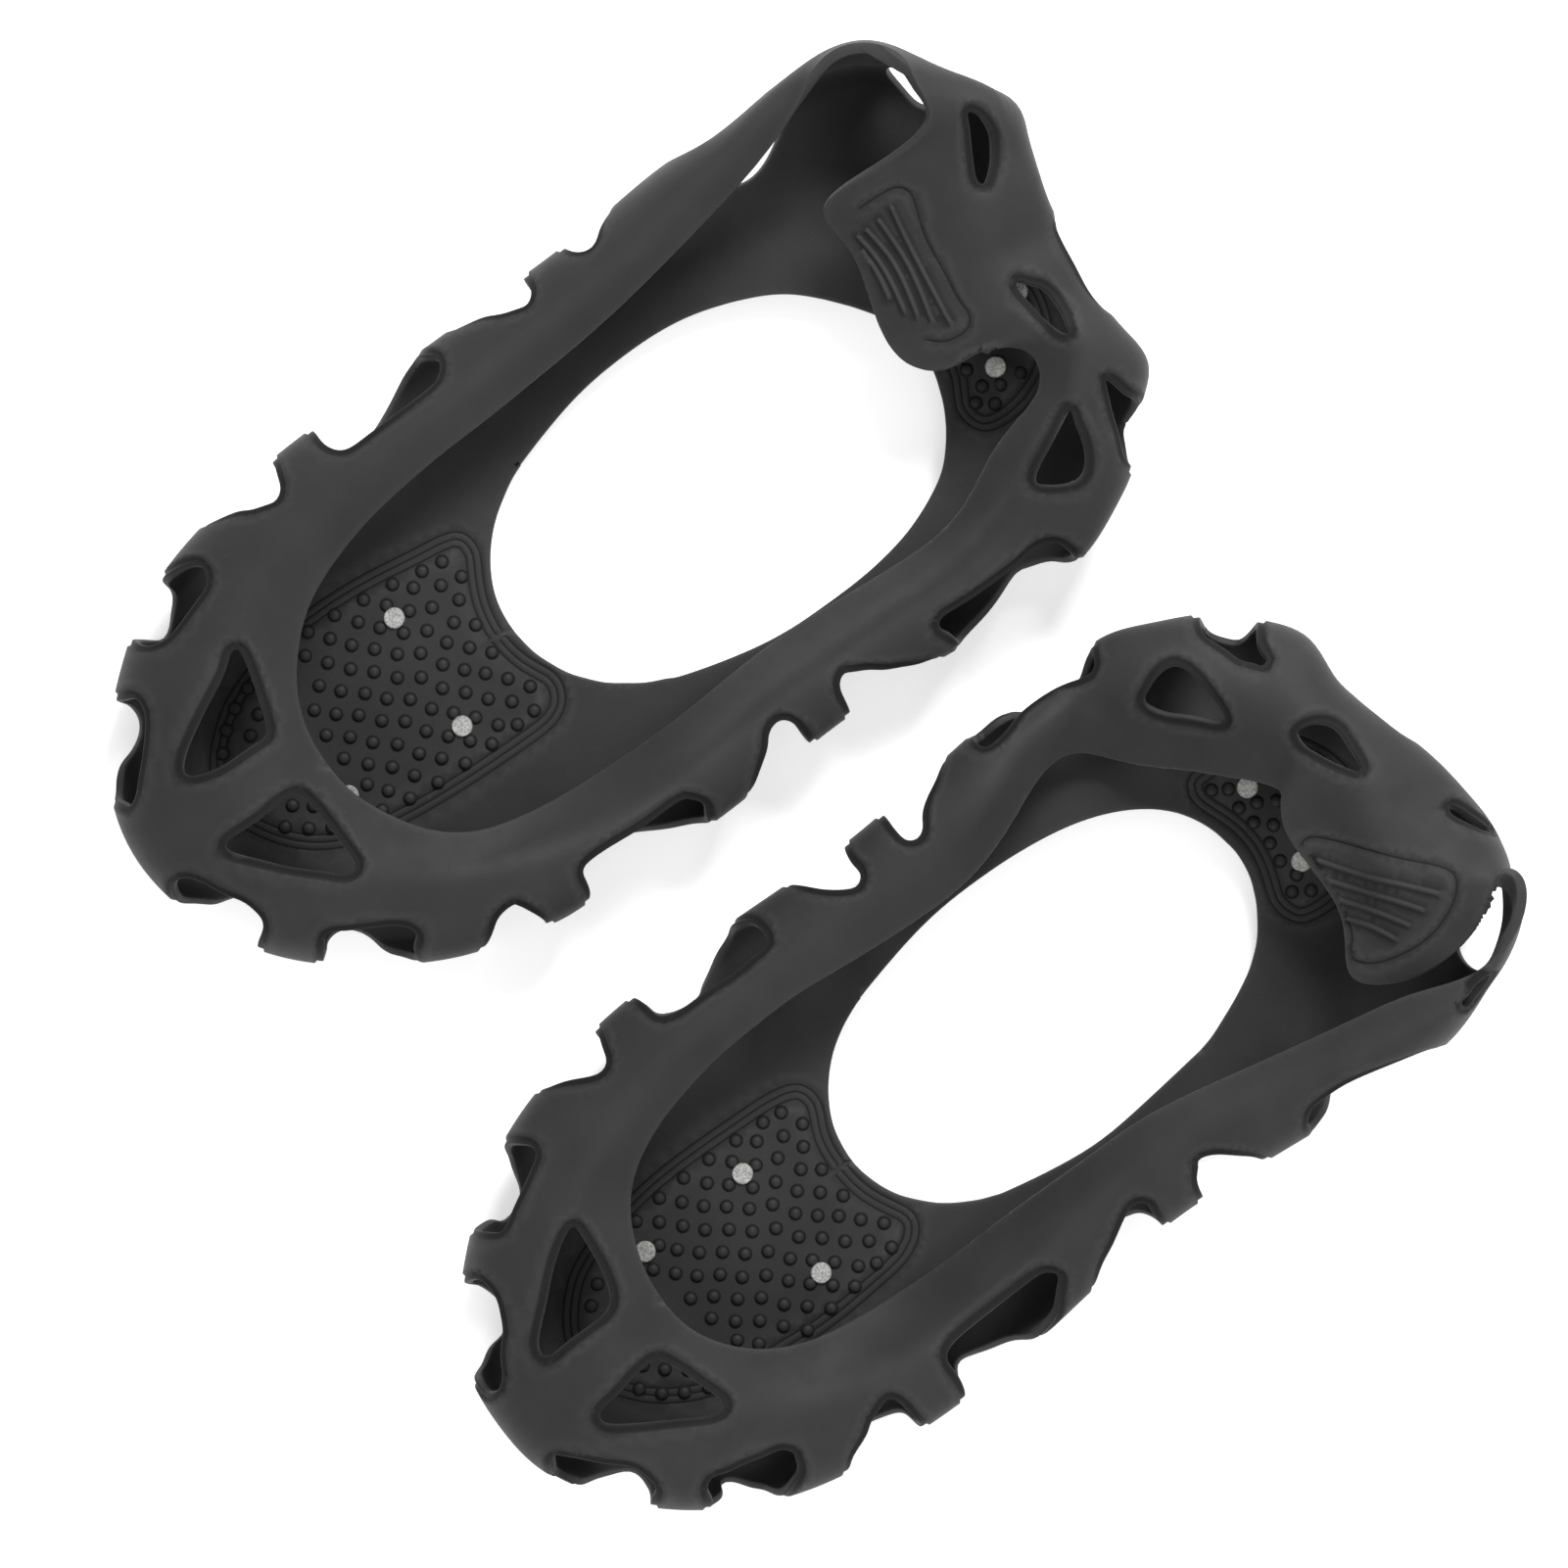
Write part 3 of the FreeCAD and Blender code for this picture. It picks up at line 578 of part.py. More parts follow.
def thickness(v):
    start, end = THICK_CHANGE
    t = min(1.0, max(0.0, (v - start) / (end - start)))
    return SOLE_THICK + (WALL_THICK - SOLE_THICK) * t * t * (3 - 2 * t)


def faceted(triangles):
    # triangles without area are skipped
    faces = [polygon_face([a, b, c]) for a, b, c in triangles
             if (b - a).cross(c - a).Length > 1e-6]
    sewn = Part.Compound(faces)
    sewn.sewShape()
    shell = sewn.Shells[0]
    solid = Part.Solid(shell)
    if solid.Volume < 0:
        shell.reverse()
        solid = Part.Solid(shell)
    return solid


def patch(ring, us, vs, leave_out=None):
    """A closed faceted solid of the moulding on the given places round it and across it.
    The cells inside leave_out (u low, u high, v low) are left open."""
    inner, outer = [], []
    for u in us:
        middle = [(ring.point(u, v), ring.normal(u, v) * (thickness(v) / 2)) for v in vs]
        inner.append([p + half for p, half in middle])
        outer.append([p - half for p, half in middle])
    triangles = []

    def quad(a, b, c, d):
        if (a - c).Length <= (b - d).Length:
            triangles.extend([(a, b, c), (a, c, d)])
        else:
            triangles.extend([(a, b, d), (b, c, d)])

    def kept(i, j):
        if not (0 <= i < len(us) - 1 and 0 <= j < len(vs) - 1):
            return False
        if leave_out is None:
            return True
        u_low, u_high, v_low = leave_out
        u, v = (us[i] + us[i + 1]) / 2, (vs[j] + vs[j + 1]) / 2
        return not (u_low < u < u_high and v > v_low)

    for i in range(len(us) - 1):
        for j in range(len(vs) - 1):
            if not kept(i, j):
                continue
            a, b, c, d = inner[i][j], inner[i + 1][j], inner[i + 1][j + 1], inner[i][j + 1]
            e, f, g, h = outer[i][j], outer[i + 1][j], outer[i + 1][j + 1], outer[i][j + 1]
            quad(a, b, c, d)
            quad(e, h, g, f)
            # edge faces where there is no neighbour
            if not kept(i, j - 1):
                quad(a, e, f, b)
            if not kept(i, j + 1):
                quad(d, c, g, h)
            if not kept(i - 1, j):
                quad(a, d, h, e)
            if not kept(i + 1, j):
                quad(b, f, g, c)
    return faceted(triangles)


def slab(y0, y1):
    return Part.makeBox(2 * SLAB_REACH, y1 - y0, SLAB_HIGH,
                        FreeCAD.Vector(-SLAB_REACH, y0, SLAB_BOTTOM_Z))


def largest(shape):
    return max(shape.Solids, key=lambda solid: solid.Volume)


def turned(profile, x, y):
    """The (radius, z) profile turned about the upright axis through (x, y)."""
    face = polygon_face([FreeCAD.Vector(r, 0, z) for r, z in profile])
    solid = face.revolve(FreeCAD.Vector(0, 0, 0), FreeCAD.Vector(0, 0, 1), 360)
    if solid.Volume < 0:
        solid.reverse()
    solid.translate(FreeCAD.Vector(x, y, 0))
    return solid


def make_stud(x, y):
    tip, cone, flange = STUD_TIP_DIA / 2, STUD_CONE_DIA / 2, STUD_FLANGE_DIA / 2
    neck, tail, chamfer = STUD_NECK_DIA / 2, STUD_TAIL_DIA / 2, STUD_TAIL_CHAMFER
    return turned([
        (0, 0), (tip - STUD_TIP_CHAMFER, 0), (tip, STUD_TIP_CHAMFER),
        (cone, STUD_CONE_TOP_Z), (cone, SOLE_BOTTOM_Z),
        (flange, SOLE_BOTTOM_Z), (flange, STUD_FLANGE_TOP_Z),
        (neck, STUD_FLANGE_TOP_Z), (neck, STUD_TAIL_Z),
        (tail - chamfer, STUD_TAIL_Z), (tail, STUD_TAIL_Z + chamfer),
        (tail, STUD_TAIL_TOP_Z - chamfer), (tail - chamfer, STUD_TAIL_TOP_Z),
        (0, STUD_TAIL_TOP_Z)], x, y)


def stud_seat(x, y):
    """The room a stud takes in the rubber, with clearance."""
    cone, flange, neck, tail = [d / 2 + SEAT_CLEAR for d in (
        STUD_CONE_DIA, STUD_FLANGE_DIA, STUD_NECK_DIA, STUD_TAIL_DIA)]
    bottom, top = BOSS_BOTTOM_Z - SEAT_PAST_BOSS, STUD_TAIL_TOP_Z + SEAT_PAST_TAIL
    flange_low, flange_high = SOLE_BOTTOM_Z - SEAT_CLEAR, STUD_FLANGE_TOP_Z + SEAT_CLEAR
    tail_low = STUD_TAIL_Z - SEAT_CLEAR
    return turned([
        (0, bottom), (cone, bottom), (cone, flange_low), (flange, flange_low),
        (flange, flange_high), (neck, flange_high), (neck, tail_low), (tail, tail_low),
        (tail, top), (0, top)], x, y)


def add_tread(shape, pad, studs):
    """Add the tread pad and the stud bosses under the sole, then cut the stud seats."""
    face = polygon_face([FreeCAD.Vector(x, y, PAD_BOTTOM_Z) for x, y in pad])
    shape = shape.fuse(face.extrude(FreeCAD.Vector(0, 0, SOLE_MID_Z - PAD_BOTTOM_Z)))
    shape = shape.fuse([Part.makeCylinder(BOSS_DIA / 2, SOLE_MID_Z - BOSS_BOTTOM_Z,
                                          FreeCAD.Vector(x, y, BOSS_BOTTOM_Z))
                        for x, y in studs])
    return shape.cut([stud_seat(x, y) for x, y in studs])


# ---------------------------------------------------------------- pieces of an overshoe
def bend_y(side, bend):
    """A division plane goes through the widest line of its stations."""
    return side["stations"][side[bend][0]][1][1]


def make_forefoot(ring, side):
    """Sole, toe cap and the front of the side walls."""
    first, last = [ring.u(s) for s in side["front_bend"]]
    us = spaced(last - ring.length - OVERRUN, 46, first + OVERRUN)
    fore = patch(ring, us, FACET_ROWS)
    fore = fore.common(slab(-SLAB_REACH, bend_y(side, "front_bend") - JOINT_GAP))
    return add_tread(largest(ring.pierce(fore)), side["fore_pad"], side["fore_studs"])


def make_band(ring, side, start, end):
    """A side band beside the arch window, between two stations."""
    us = spaced(ring.u(start) - OVERRUN, 9, ring.u(end) + OVERRUN)
    band = patch(ring, us, FACET_ROWS)
    band = band.common(slab(bend_y(side, "front_bend") + JOINT_GAP,
                            bend_y(side, "rear_bend") - JOINT_GAP))
    return largest(ring.pierce(band))


def make_heel_cup(ring, side):
    """Heel sole and the walls round it, left open where the back wall goes."""
    first, last = [ring.u(s) for s in side["rear_bend"]]
    flap_a, flap_b = [ring.u(s) for s in side["flap"]]
    tab_a, tab_b = [ring.u(s) for s in side["tab"]]
    us = spaced(first - OVERRUN, 20, flap_a, 4, tab_a, 12, tab_b, 4, flap_b, 18, last + OVERRUN)
    heel = patch(ring, us, HEEL_ROWS, (flap_a, flap_b, FLAP_ROW))
    heel = heel.common(slab(bend_y(side, "rear_bend") + JOINT_GAP, SLAB_REACH))
    return add_tread(largest(ring.pierce(heel)), side["heel_pad"], side["heel_studs"])


def make_back_wall(ring, side):
    """Back wall folded forward over the heel, left open where the pull tab goes."""
    flap_a, flap_b = [ring.u(s) for s in side["flap"]]
    tab_a, tab_b = [ring.u(s) for s in side["tab"]]
    us = spaced(flap_a + FLAP_SIDE_GAP, 3, tab_a, 12, tab_b, 3, flap_b - FLAP_SIDE_GAP)
    return largest(ring.pierce(patch(ring, us, BACK_WALL_ROWS, (tab_a, tab_b, TAB_ROW))))


def make_pull_tab(ring, side):
    tab_a, tab_b = [ring.u(s) for s in side["tab"]]
    return patch(ring, spaced(tab_a + TAB_SIDE_GAP, 12, tab_b - TAB_SIDE_GAP), TAB_ROWS)


def make_overshoe(side):
    ring = Moulding(side)
    (front_a, front_b), (rear_a, rear_b) = side["front_bend"], side["rear_bend"]
    first_band, second_band = side["bands"]
    parts = {
        "forefoot": make_forefoot(ring, side),
        first_band + "_band": make_band(ring, side, front_a, rear_a),
        second_band + "_band": make_band(ring, side, rear_b, front_b),
        "heel_cup": make_heel_cup(ring, side),
        "back_wall": make_back_wall(ring, side),
        "pull_tab": make_pull_tab(ring, side),
    }
    places = side["fore_studs"] + side["heel_studs"]
    for stud, (x, y) in zip(FORE_STUDS + HEEL_STUDS, places):
        parts[stud] = make_stud(x, y)
    return parts


os.makedirs("parts", exist_ok=True)
for side in (RIGHT, LEFT):
    for part, shape in make_overshoe(side).items():
        # repairs a boolean result that came out invalid
        if not shape.isValid():
            shape.fix(0.01, 0.01, 0.01)
        shape.exportStep("parts/" + side["name"] + "_" + part + ".step")
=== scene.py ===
"""A pair of black rubber ice overshoes with steel studs, soles down on a pale floor.

The toes point to -Y and the heels to +Y; the right overshoe is on the -X side, the left on +X.
The sole is a strip round an open window, with a forefoot pad and a heel pad below it. The strip
turns up into a wall pierced by openings, and the back wall is folded in over the heel.
Shapes are worked out in millimetres and turned into metres when the meshes are made.
"""
import math
import bpy
import numpy as np
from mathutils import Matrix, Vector, kdtree
from mathutils.geometry import delaunay_2d_cdt


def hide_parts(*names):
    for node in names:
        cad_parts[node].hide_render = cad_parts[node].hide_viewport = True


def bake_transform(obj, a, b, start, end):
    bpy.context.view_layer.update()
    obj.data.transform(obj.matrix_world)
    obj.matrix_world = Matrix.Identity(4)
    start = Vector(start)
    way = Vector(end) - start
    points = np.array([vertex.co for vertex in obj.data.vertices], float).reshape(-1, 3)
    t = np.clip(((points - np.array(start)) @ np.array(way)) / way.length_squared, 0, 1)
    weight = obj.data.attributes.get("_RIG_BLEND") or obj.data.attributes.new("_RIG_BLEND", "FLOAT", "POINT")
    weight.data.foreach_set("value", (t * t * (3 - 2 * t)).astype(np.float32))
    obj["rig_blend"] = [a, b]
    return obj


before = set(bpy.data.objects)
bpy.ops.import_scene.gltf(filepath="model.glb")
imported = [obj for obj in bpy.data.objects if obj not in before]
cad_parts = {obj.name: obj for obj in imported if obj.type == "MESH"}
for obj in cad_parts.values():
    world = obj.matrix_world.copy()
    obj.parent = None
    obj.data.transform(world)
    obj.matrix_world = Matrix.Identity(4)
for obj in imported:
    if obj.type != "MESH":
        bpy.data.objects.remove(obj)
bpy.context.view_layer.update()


# ------------------------------------------------------------------ measured tables
def points(text):
    """A table of points: spaces between points, commas between the numbers of one."""
    return np.array([[float(n) for n in point.split(",")] for point in text.split()])


def station_table(text):
    """A table with one station a line."""
    lines = text.strip().splitlines()
    return np.array([[float(n) for n in line.replace(",", " ").split()] for line in lines])


# Keys of each overshoe, all in mm:
#   y_front, y_rear   where the forefoot meets the arch, and the arch the heel
#   fold_y, mid_x     fold line of the back wall, and the middle of the overshoe
#   flap              first and last station of the folded back wall
#   fore_pad, heel_pad, *_studs, nubs   x,y of pad outlines, studs and small rubber nubs
#   stations          cross-sections round the ring, starting at the toe:
#                     window x,y  widest x,y,z  crest x,y,z  rim x,y,z  wall foot inset
#   openings          outlines in the wall: mm round the ring, share of the way from the
#                     window (0) to the rim (1)
#   grip, ribs        x,y of the grip outline on the folded wall, and of the ribs in it
RIGHT = {
    "name": "right",
    "y_front": -1.5,
    "y_rear": 44.5,
    "fold_y": 118.7,
    "mid_x": -62,
    "flap": (21.5, 29.6),
    "fore_studs": points("-81.9,-44.1 -54.4,-46.1 -84.9,-71.9 -56.8,-74.8 -72.5,-86.5"),
    "heel_studs": points("-48.7,92.6 -68.6,93.2 -59,106"),
    "fore_pad": points("""
-88.7,-22 -91.2,-30.5 -93.2,-42.5 -94.3,-54 -94,-66 -92,-75.5 -89,-84 -84.2,-91 -78.5,-96
-70.5,-98.5 -63.2,-96.5 -55.2,-91.3 -49.2,-83.5 -46.2,-75 -44,-62 -42.9,-47.5 -42.5,-35.5
-43.2,-28.5 -46.2,-24.5 -51.2,-23.2 -57.2,-25.5 -65.2,-27 -73.2,-25.6 -79.2,-22.6 -83.7,-20.6"""),
    "heel_pad": points("""
-79,85.5 -78.3,82.3 -75.3,80.6 -71.3,81.4 -65.3,83.8 -58.8,84.8 -52.3,83.6 -47.3,80.9 -43.3,80.4
-39.3,82.2 -37.7,86 -37.8,92 -40.3,99.5 -46.3,106.5 -54.3,110.3 -61.3,110.6 -69.3,108 -75.3,102
-78.3,94"""),
    "stations": station_table("""
-65.2,-24.9 -70.2,-119.3,16 -67.2,-100.5,31 -64.2,-73.5,28.5 9.5
-71.7,-24 -86.2,-115.7,16 -79.2,-97.5,31.5 -73.2,-72.5,28.5 9.5
-77.7,-21.3 -98.2,-107.5,16.5 -89.2,-91.5,31.5 -82.2,-68.5,28.5 9.5
-82.7,-17.5 -107.7,-97,17 -97.7,-83.5,31 -89.7,-62,28.5 9.5
-86.2,-13.7 -115,-86,17.5 -103.7,-75.5,30.5 -94.2,-56,28.5 9.5
-88.5,-10.3 -119.7,-73,18 -108.2,-67.5,30 -97.2,-49.5,28.5 9.5
-90,-7.8 -122,-61.5,18 -110.7,-58.5,29.5 -99,-44,28.5 9.5
-91.2,-5.5 -123.7,-49,18.5 -112.7,-47.5,29.5 -100.9,-36.5,28.5 9.5
-92,-3.5 -124.4,-36,18.5 -114.2,-34.5,29.5 -102.2,-27.5,28.5 9.5
-92.4,-2.5 -124.4,-18.5,18.5 -114.4,-17.5,29.5 -103.3,-14.5,28.2 9.5
-92.8,-1.5 -124.2,-1.5,18.5 -114.2,-1.5,29.5 -103.7,-1.5,28 9.5
-96.5,12.5 -124.2,12.5,18.5 -114.7,12.5,29.5 -104.4,12.5,28 9.5
-98.2,28.5 -124.2,28.5,18.5 -115.2,28.5,30 -105.5,28.5,28.5 9.5
-97,44.5 -124.6,44.5,19 -116.2,44.5,31 -107.4,44.5,30 10
-92.7,57.5 -125.4,58.5,19 -118.2,58.5,33 -109.6,58.5,32 11.5
-88.2,65.5 -124.8,71.5,20 -119.2,71.5,35 -112,71.5,34 13
-83.7,70.3 -124.5,82.5,20 -121.2,82.5,37 -114.7,82.5,37 13
-79.7,73.7 -124.2,93,20 -122.7,93,36 -118.2,92.5,40 13
-76.7,76 -122.2,102,20 -122.5,101.5,34 -121,100.5,42 13
-74.2,77.7 -118.2,109.5,20 -119.5,109,34 -119.2,107.5,43 13
-72,79.1 -111.2,116,21 -113.2,114.5,34 -113.2,112.3,43 12.5
-69.7,80.1 -102.2,122,22 -104.2,119.5,35 -105.7,112,43 12.5
-67.7,80.9 -93.2,127.9,24 -94.7,123.5,37 -98.7,110,41 13
-65.7,81.5 -85.2,126.8,25 -87.7,114.5,36 -97.7,95.5,35 13
-64.2,81.8 -78.2,124.3,25 -81.2,110.5,35 -97.2,82,29 12.5
-62.2,81.9 -71.2,122.1,25 -73.2,107.5,34 -87.2,81.5,27 12
-60.2,81.9 -64.2,121,24 -67.2,105.5,33 -73.2,77.8,27 12
-58.2,81.7 -57.2,120.3,24 -61.2,104.5,33 -61.2,76.6,27 12
-55.2,81.1 -51.2,119.5,23 -54.2,105.5,33 -54,83,28 12
-52.2,80.1 -44.2,118.5,23 -48.2,108.5,34 -52.1,93,31 12
-49.2,78.9 -37.2,118.8,23 -40.7,110.5,34 -46.2,99.3,31 12.5
-46.2,77.3 -29.2,118.5,22 -34.2,106.5,34 -39.2,96.8,29 13
-43.2,75.3 -22.7,111.5,22 -30.2,101.5,33.5 -36.2,89.5,27 13
-40.2,72.8 -15.2,105,21 -26.7,94.5,33 -34.2,82,25 13
-37.2,69.5 -9.2,95.5,20 -22.2,85.5,31 -30.7,74.5,22 13
-34.4,64.5 -4.4,82.5,19 -18.2,75.5,28 -27.7,67.5,18 13
-32.2,59 -4,67.5,18 -15.7,65.5,26 -26.2,60,14 12
-30.4,52 -4.2,53.5,17.5 -15.2,53,25 -26.2,51.5,11.5 10.5
-29.4,44.5 -5,44.5,17 -15.7,44.5,24.5 -26.7,44.5,10.8 9.5
-29.1,32.5 -6.2,32.5,17 -16.2,32.5,24.5 -27.8,32.5,10.6 9.5
-30.2,17.5 -6.6,17.5,17 -16.7,17.5,24.5 -28.5,17.5,10.6 9.5
-35.2,-1.5 -5.8,-1.5,17 -16.2,-1.5,24.5 -27.8,-1.5,10.6 9.5
-36.4,-4 -5.5,-14.5,17 -15.7,-14.5,25 -27.5,-11.5,10.8 9.5
-37.7,-6.8 -6.5,-28.5,17 -16.2,-27.5,25.5 -27.8,-22.5,11.7 9.5
-39.2,-9.5 -7.8,-41,17.5 -17.7,-39.5,26.5 -28.4,-31.5,14 9.5
-41.2,-12.3 -8.2,-52.5,17.5 -19.7,-49.5,28 -29.4,-40.5,18 9.5
-43.7,-15.5 -11,-64,17.5 -22.7,-59.5,29 -31.2,-49,22 9.5
-46.7,-18.2 -15,-76,17.5 -27.2,-70,30 -34.2,-57,25.5 9.5
-50.2,-20.8 -21.7,-88,17 -33.2,-79.5,31 -39.2,-63.5,27.5 9.5
-54.2,-22.7 -30.7,-100,16.5 -41.2,-88,31.5 -46.2,-68.5,28.3 9.5
-58.2,-24.1 -42.7,-110.5,16 -50.2,-95.5,31.5 -54.2,-72.1,28.5 9.5
-61.9,-24.7 -56.2,-117,16 -58.7,-99,31.2 -59.2,-73.2,28.5 9.5"""),
    "openings": {
        "arch": """
111.2,.702 103.8,.707 96.4,.711 91.8,.706 89.9,.679 89,.635 89,.548 86.2,.399 83.4,.335 85.3,.314
91.8,.332 99.2,.375 105.7,.423 110.3,.469 113.1,.51 115,.588 116.8,.637 115.9,.674 114,.695""",
        "mid_1": """
141.8,.548 141.8,.624 140.9,.659 139.1,.676 137.2,.669 133.5,.645 130.7,.616 127,.587 123.3,.542
124.2,.432 127,.387 131.6,.354 136.3,.34 140.9,.354 141.8,.415""",
        "mid_2": """
153,.548 153.9,.617 155.7,.647 157.6,.653 159.4,.64 161.3,.611 165,.548 167.8,.433 168.7,.385
164.1,.352 157.6,.341 153.9,.357 153,.407""",
        "heel_1": """
181.7,.5 186.3,.58 196.2,.61 205.1,.61 211.5,.58 214.2,.5 211.5,.42 202.9,.36 192.8,.36
184.3,.42""",
        "heel_2": """
234.8,.5 236.5,.56 241.3,.58 247.1,.56 249.9,.5 249,.45 245.6,.41 241.8,.4 238.2,.425
235.6,.46""",
        "back_1": """
260.5,.822 261.4,.788 264.2,.735 267.9,.692 273.5,.683 278.1,.7 279.9,.715 279,.723 273.5,.725
267.9,.75 262.3,.81""",
        "back_2": """
307.8,.721 309.6,.704 311.5,.689 316.1,.689 321.7,.715 325.4,.757 327.2,.787 326.3,.798
322.6,.775 315.2,.735 310.6,.728""",
        "rear": """
295.7,.542 302.2,.572 309.6,.577 317,.582 322.6,.548 323.5,.453 318.9,.458 310.6,.46
301.3,.464""",
        "heel_3": """
339.3,.689 342.1,.646 343.9,.596 344.8,.542 348.6,.454 351.3,.457 354.1,.471 356,.504 355,.592
351.3,.62 347.6,.645 343.9,.669""",
        "heel_4": """
346.7,.777 349.5,.742 353.2,.704 356.9,.679 360.6,.667 362.5,.672 364.3,.695 365.2,.724
365.2,.748 363.4,.765 359.7,.769 355,.768 349.5,.778""",
        "side_1": """
399.5,.681 394.9,.677 388.4,.672 381.9,.667 377.3,.662 375.4,.643 375.4,.605 376.4,.504
377.3,.457 378.2,.423 381,.403 382.9,.398 387.5,.418 393.1,.445 397.7,.466 400.5,.504 401.4,.617
402.3,.654 401.4,.675""",
        "side_2": """
428.3,.504 427.4,.638 426.4,.68 424.6,.699 422.7,.688 419.9,.667 417.1,.637 413.4,.607
409.7,.571 406.9,.542 406.9,.429 408.8,.381 414.4,.349 421.8,.344 426.4,.361 428.3,.415""",
        "side_3": """
439.4,.504 439.4,.638 440.3,.682 442.2,.699 445,.688 446.8,.661 449.6,.628 452.4,.591 456.1,.504
455.2,.431 451.4,.377 446.8,.345 441.2,.344 439.4,.385 439.4,.428""",
        "side_4": """
467.2,.693 472.8,.693 478.3,.689 483.9,.687 488.5,.681 491.3,.667 492.2,.626 493.2,.548
495.9,.402 497.8,.342 495.9,.319 490.4,.319 483.9,.347 479.3,.375 473.7,.412 469.1,.448
466.3,.51 465.4,.597 464.4,.638 465.4,.673""",
        "side_5": """
503.4,.548 505.2,.626 507.1,.656 508,.659 510.8,.645 512.6,.622 515.4,.548 518.2,.402 519.1,.349
518.2,.317 513.6,.32 508,.365""",
        "toe_1": """
528.4,.66 527.5,.641 528.4,.61 528.4,.548 531.2,.473 534,.442 537.7,.385 541.4,.353 545.1,.349
546,.375 545.1,.431 544.1,.542 544.1,.612 544.1,.635 543.2,.647 540.4,.653 538.6,.657 534.9,.664
531.2,.668""",
        "toe_2": """
570.1,.621 569.2,.636 566.4,.647 563.6,.651 560.8,.657 559,.656 556.2,.643 555.3,.62 555.3,.584
555.3,.504 556.2,.385 558.1,.349 561.8,.336 563.6,.359 564.5,.396 566.4,.456 568.2,.542
569.2,.571 570.1,.599""",
        "toe_3": """
29.7,.592 29.7,.626 26.9,.648 23.2,.652 18.5,.647 13.9,.634 11.1,.62 10.2,.603 11.1,.578 13,.504
14.8,.486 17.6,.45 19.5,.391 22.2,.37 25,.378 27.8,.424 29.7,.542""",
        "toe_4": """
56.5,.664 54.7,.688 51,.688 46.4,.677 42.6,.664 40.8,.647 39.9,.619 40.8,.542 39.9,.39 39.9,.36
41.7,.358 44.5,.369 48.2,.4 51.9,.548 53.8,.595 55.6,.624 56.5,.646""",
        "side_6": """
78.8,.548 77.9,.638 76.9,.67 75.1,.681 73.2,.671 70.5,.651 68.6,.628 65.8,.599 63,.548 60.3,.394
58.4,.332 61.2,.306 65.8,.3 70.5,.319 75.1,.378""",
        "toe_top_1": """
38,.825 35.2,.855 27.8,.893 20.4,.914 14.8,.913 13.9,.896 13,.844 12.1,.79 12.1,.741 13,.716
15.8,.716 21.3,.74 27.8,.778 33.4,.808 37.1,.814""",
        "toe_top_2": """
572,.904 568.2,.918 556.2,.9 546,.845 543.2,.815 543.2,.787 547.9,.777 554.4,.765 561.8,.744
567.3,.723 570.1,.72 571,.746 571,.813""",
    },
    "nubs": points("""
-86.5,-33.3 -73.5,-34.3 -67.1,-34.8 -60.6,-35.3 -52.3,-34.3 -47.6,-36.3 -84.7,-36.9 -78.9,-36.2
-70.9,-38.1 -63.9,-38.5 -55.8,-38.1 -88,-40.1 -81.2,-40.6 -75.5,-40 -67.6,-41.6 -59.8,-41.2
-50,-39.7 -54.2,-42.7 -47.5,-43.2 -85.1,-43.8 -78.1,-44.4 -72.4,-44 -63.5,-44.7 -57.8,-45.9
-50.8,-46.6 -89,-47.1 -82,-47.8 -75.2,-48.2 -68.1,-47 -61.3,-49.2 -54.4,-49.8 -47.5,-50.3
-85.8,-50.9 -79,-51.5 -71.1,-51.2 -65.7,-51.7 -58.1,-53 -51.4,-53.8 -90,-54.1 -82.6,-55
-75.1,-54.5 -68.8,-55.7 -62.5,-55.4 -55.1,-57.1 -47.7,-57.5 -86.5,-57.9 -78.6,-58.2 -72.5,-58.8
-65.6,-59.4 -59.5,-59.7 -51.9,-60.7 -82.6,-61.4 -76,-62.7 -69.5,-62.7 -63,-63.7 -56.2,-63.5
-48.5,-64.4 -90.5,-60.9 -86.7,-64.4 -79.7,-65.8 -72.6,-66.5 -66.8,-67 -59.8,-67.3 -52.6,-67.2
-76.1,-69.8 -70.2,-70.9 -63.9,-70.8 -56.4,-70.1 -50,-70.8 -88.4,-78.6 -82.5,-80.1 -86.5,-83.4
-79.8,-84.2 -83.8,-87.7 -80.2,-91.3 -59.5,-82.2 -53.4,-81.7 -56.2,-85.9 -59.5,-89.8 -62.3,-85.8
-85.6,-28.6 -80.5,-27.1 -81.6,-31.8 -76.8,-30.5 -70.3,-30.8 -63.4,-31.5 -56.8,-32.1 -52.6,-29.2
-47.9,-31.6 -44.5,96.1 -47.1,87.8 -42.4,87.8 -45,84.6 -51.9,87.2 -45,91.1"""),
    "grip": points("""
-92.7,88.5 -92.2,94.5 -91.2,97.5 -88.7,98.8 -86.2,98.3 -79.2,96 -69.2,94.5 -63.2,93.7 -60.2,93.5
-58.5,92 -58.2,89.5 -59.2,86 -61.7,83.3"""),
    "grip_closed": False,
    "ribs": [
        points("-88.7,94 -78.2,92 -61.7,89.5"),
        points("-88.2,90.3 -78.2,89.8 -64.2,86.7"),
        points("-88.2,87 -81.2,87.5 -66.7,84.8"),
        points("-88.2,84.8 -81.2,85.1 -69.2,83.2"),
        points("-87.7,83.1 -81.2,83.5 -73.2,82.2"),
    ],
}
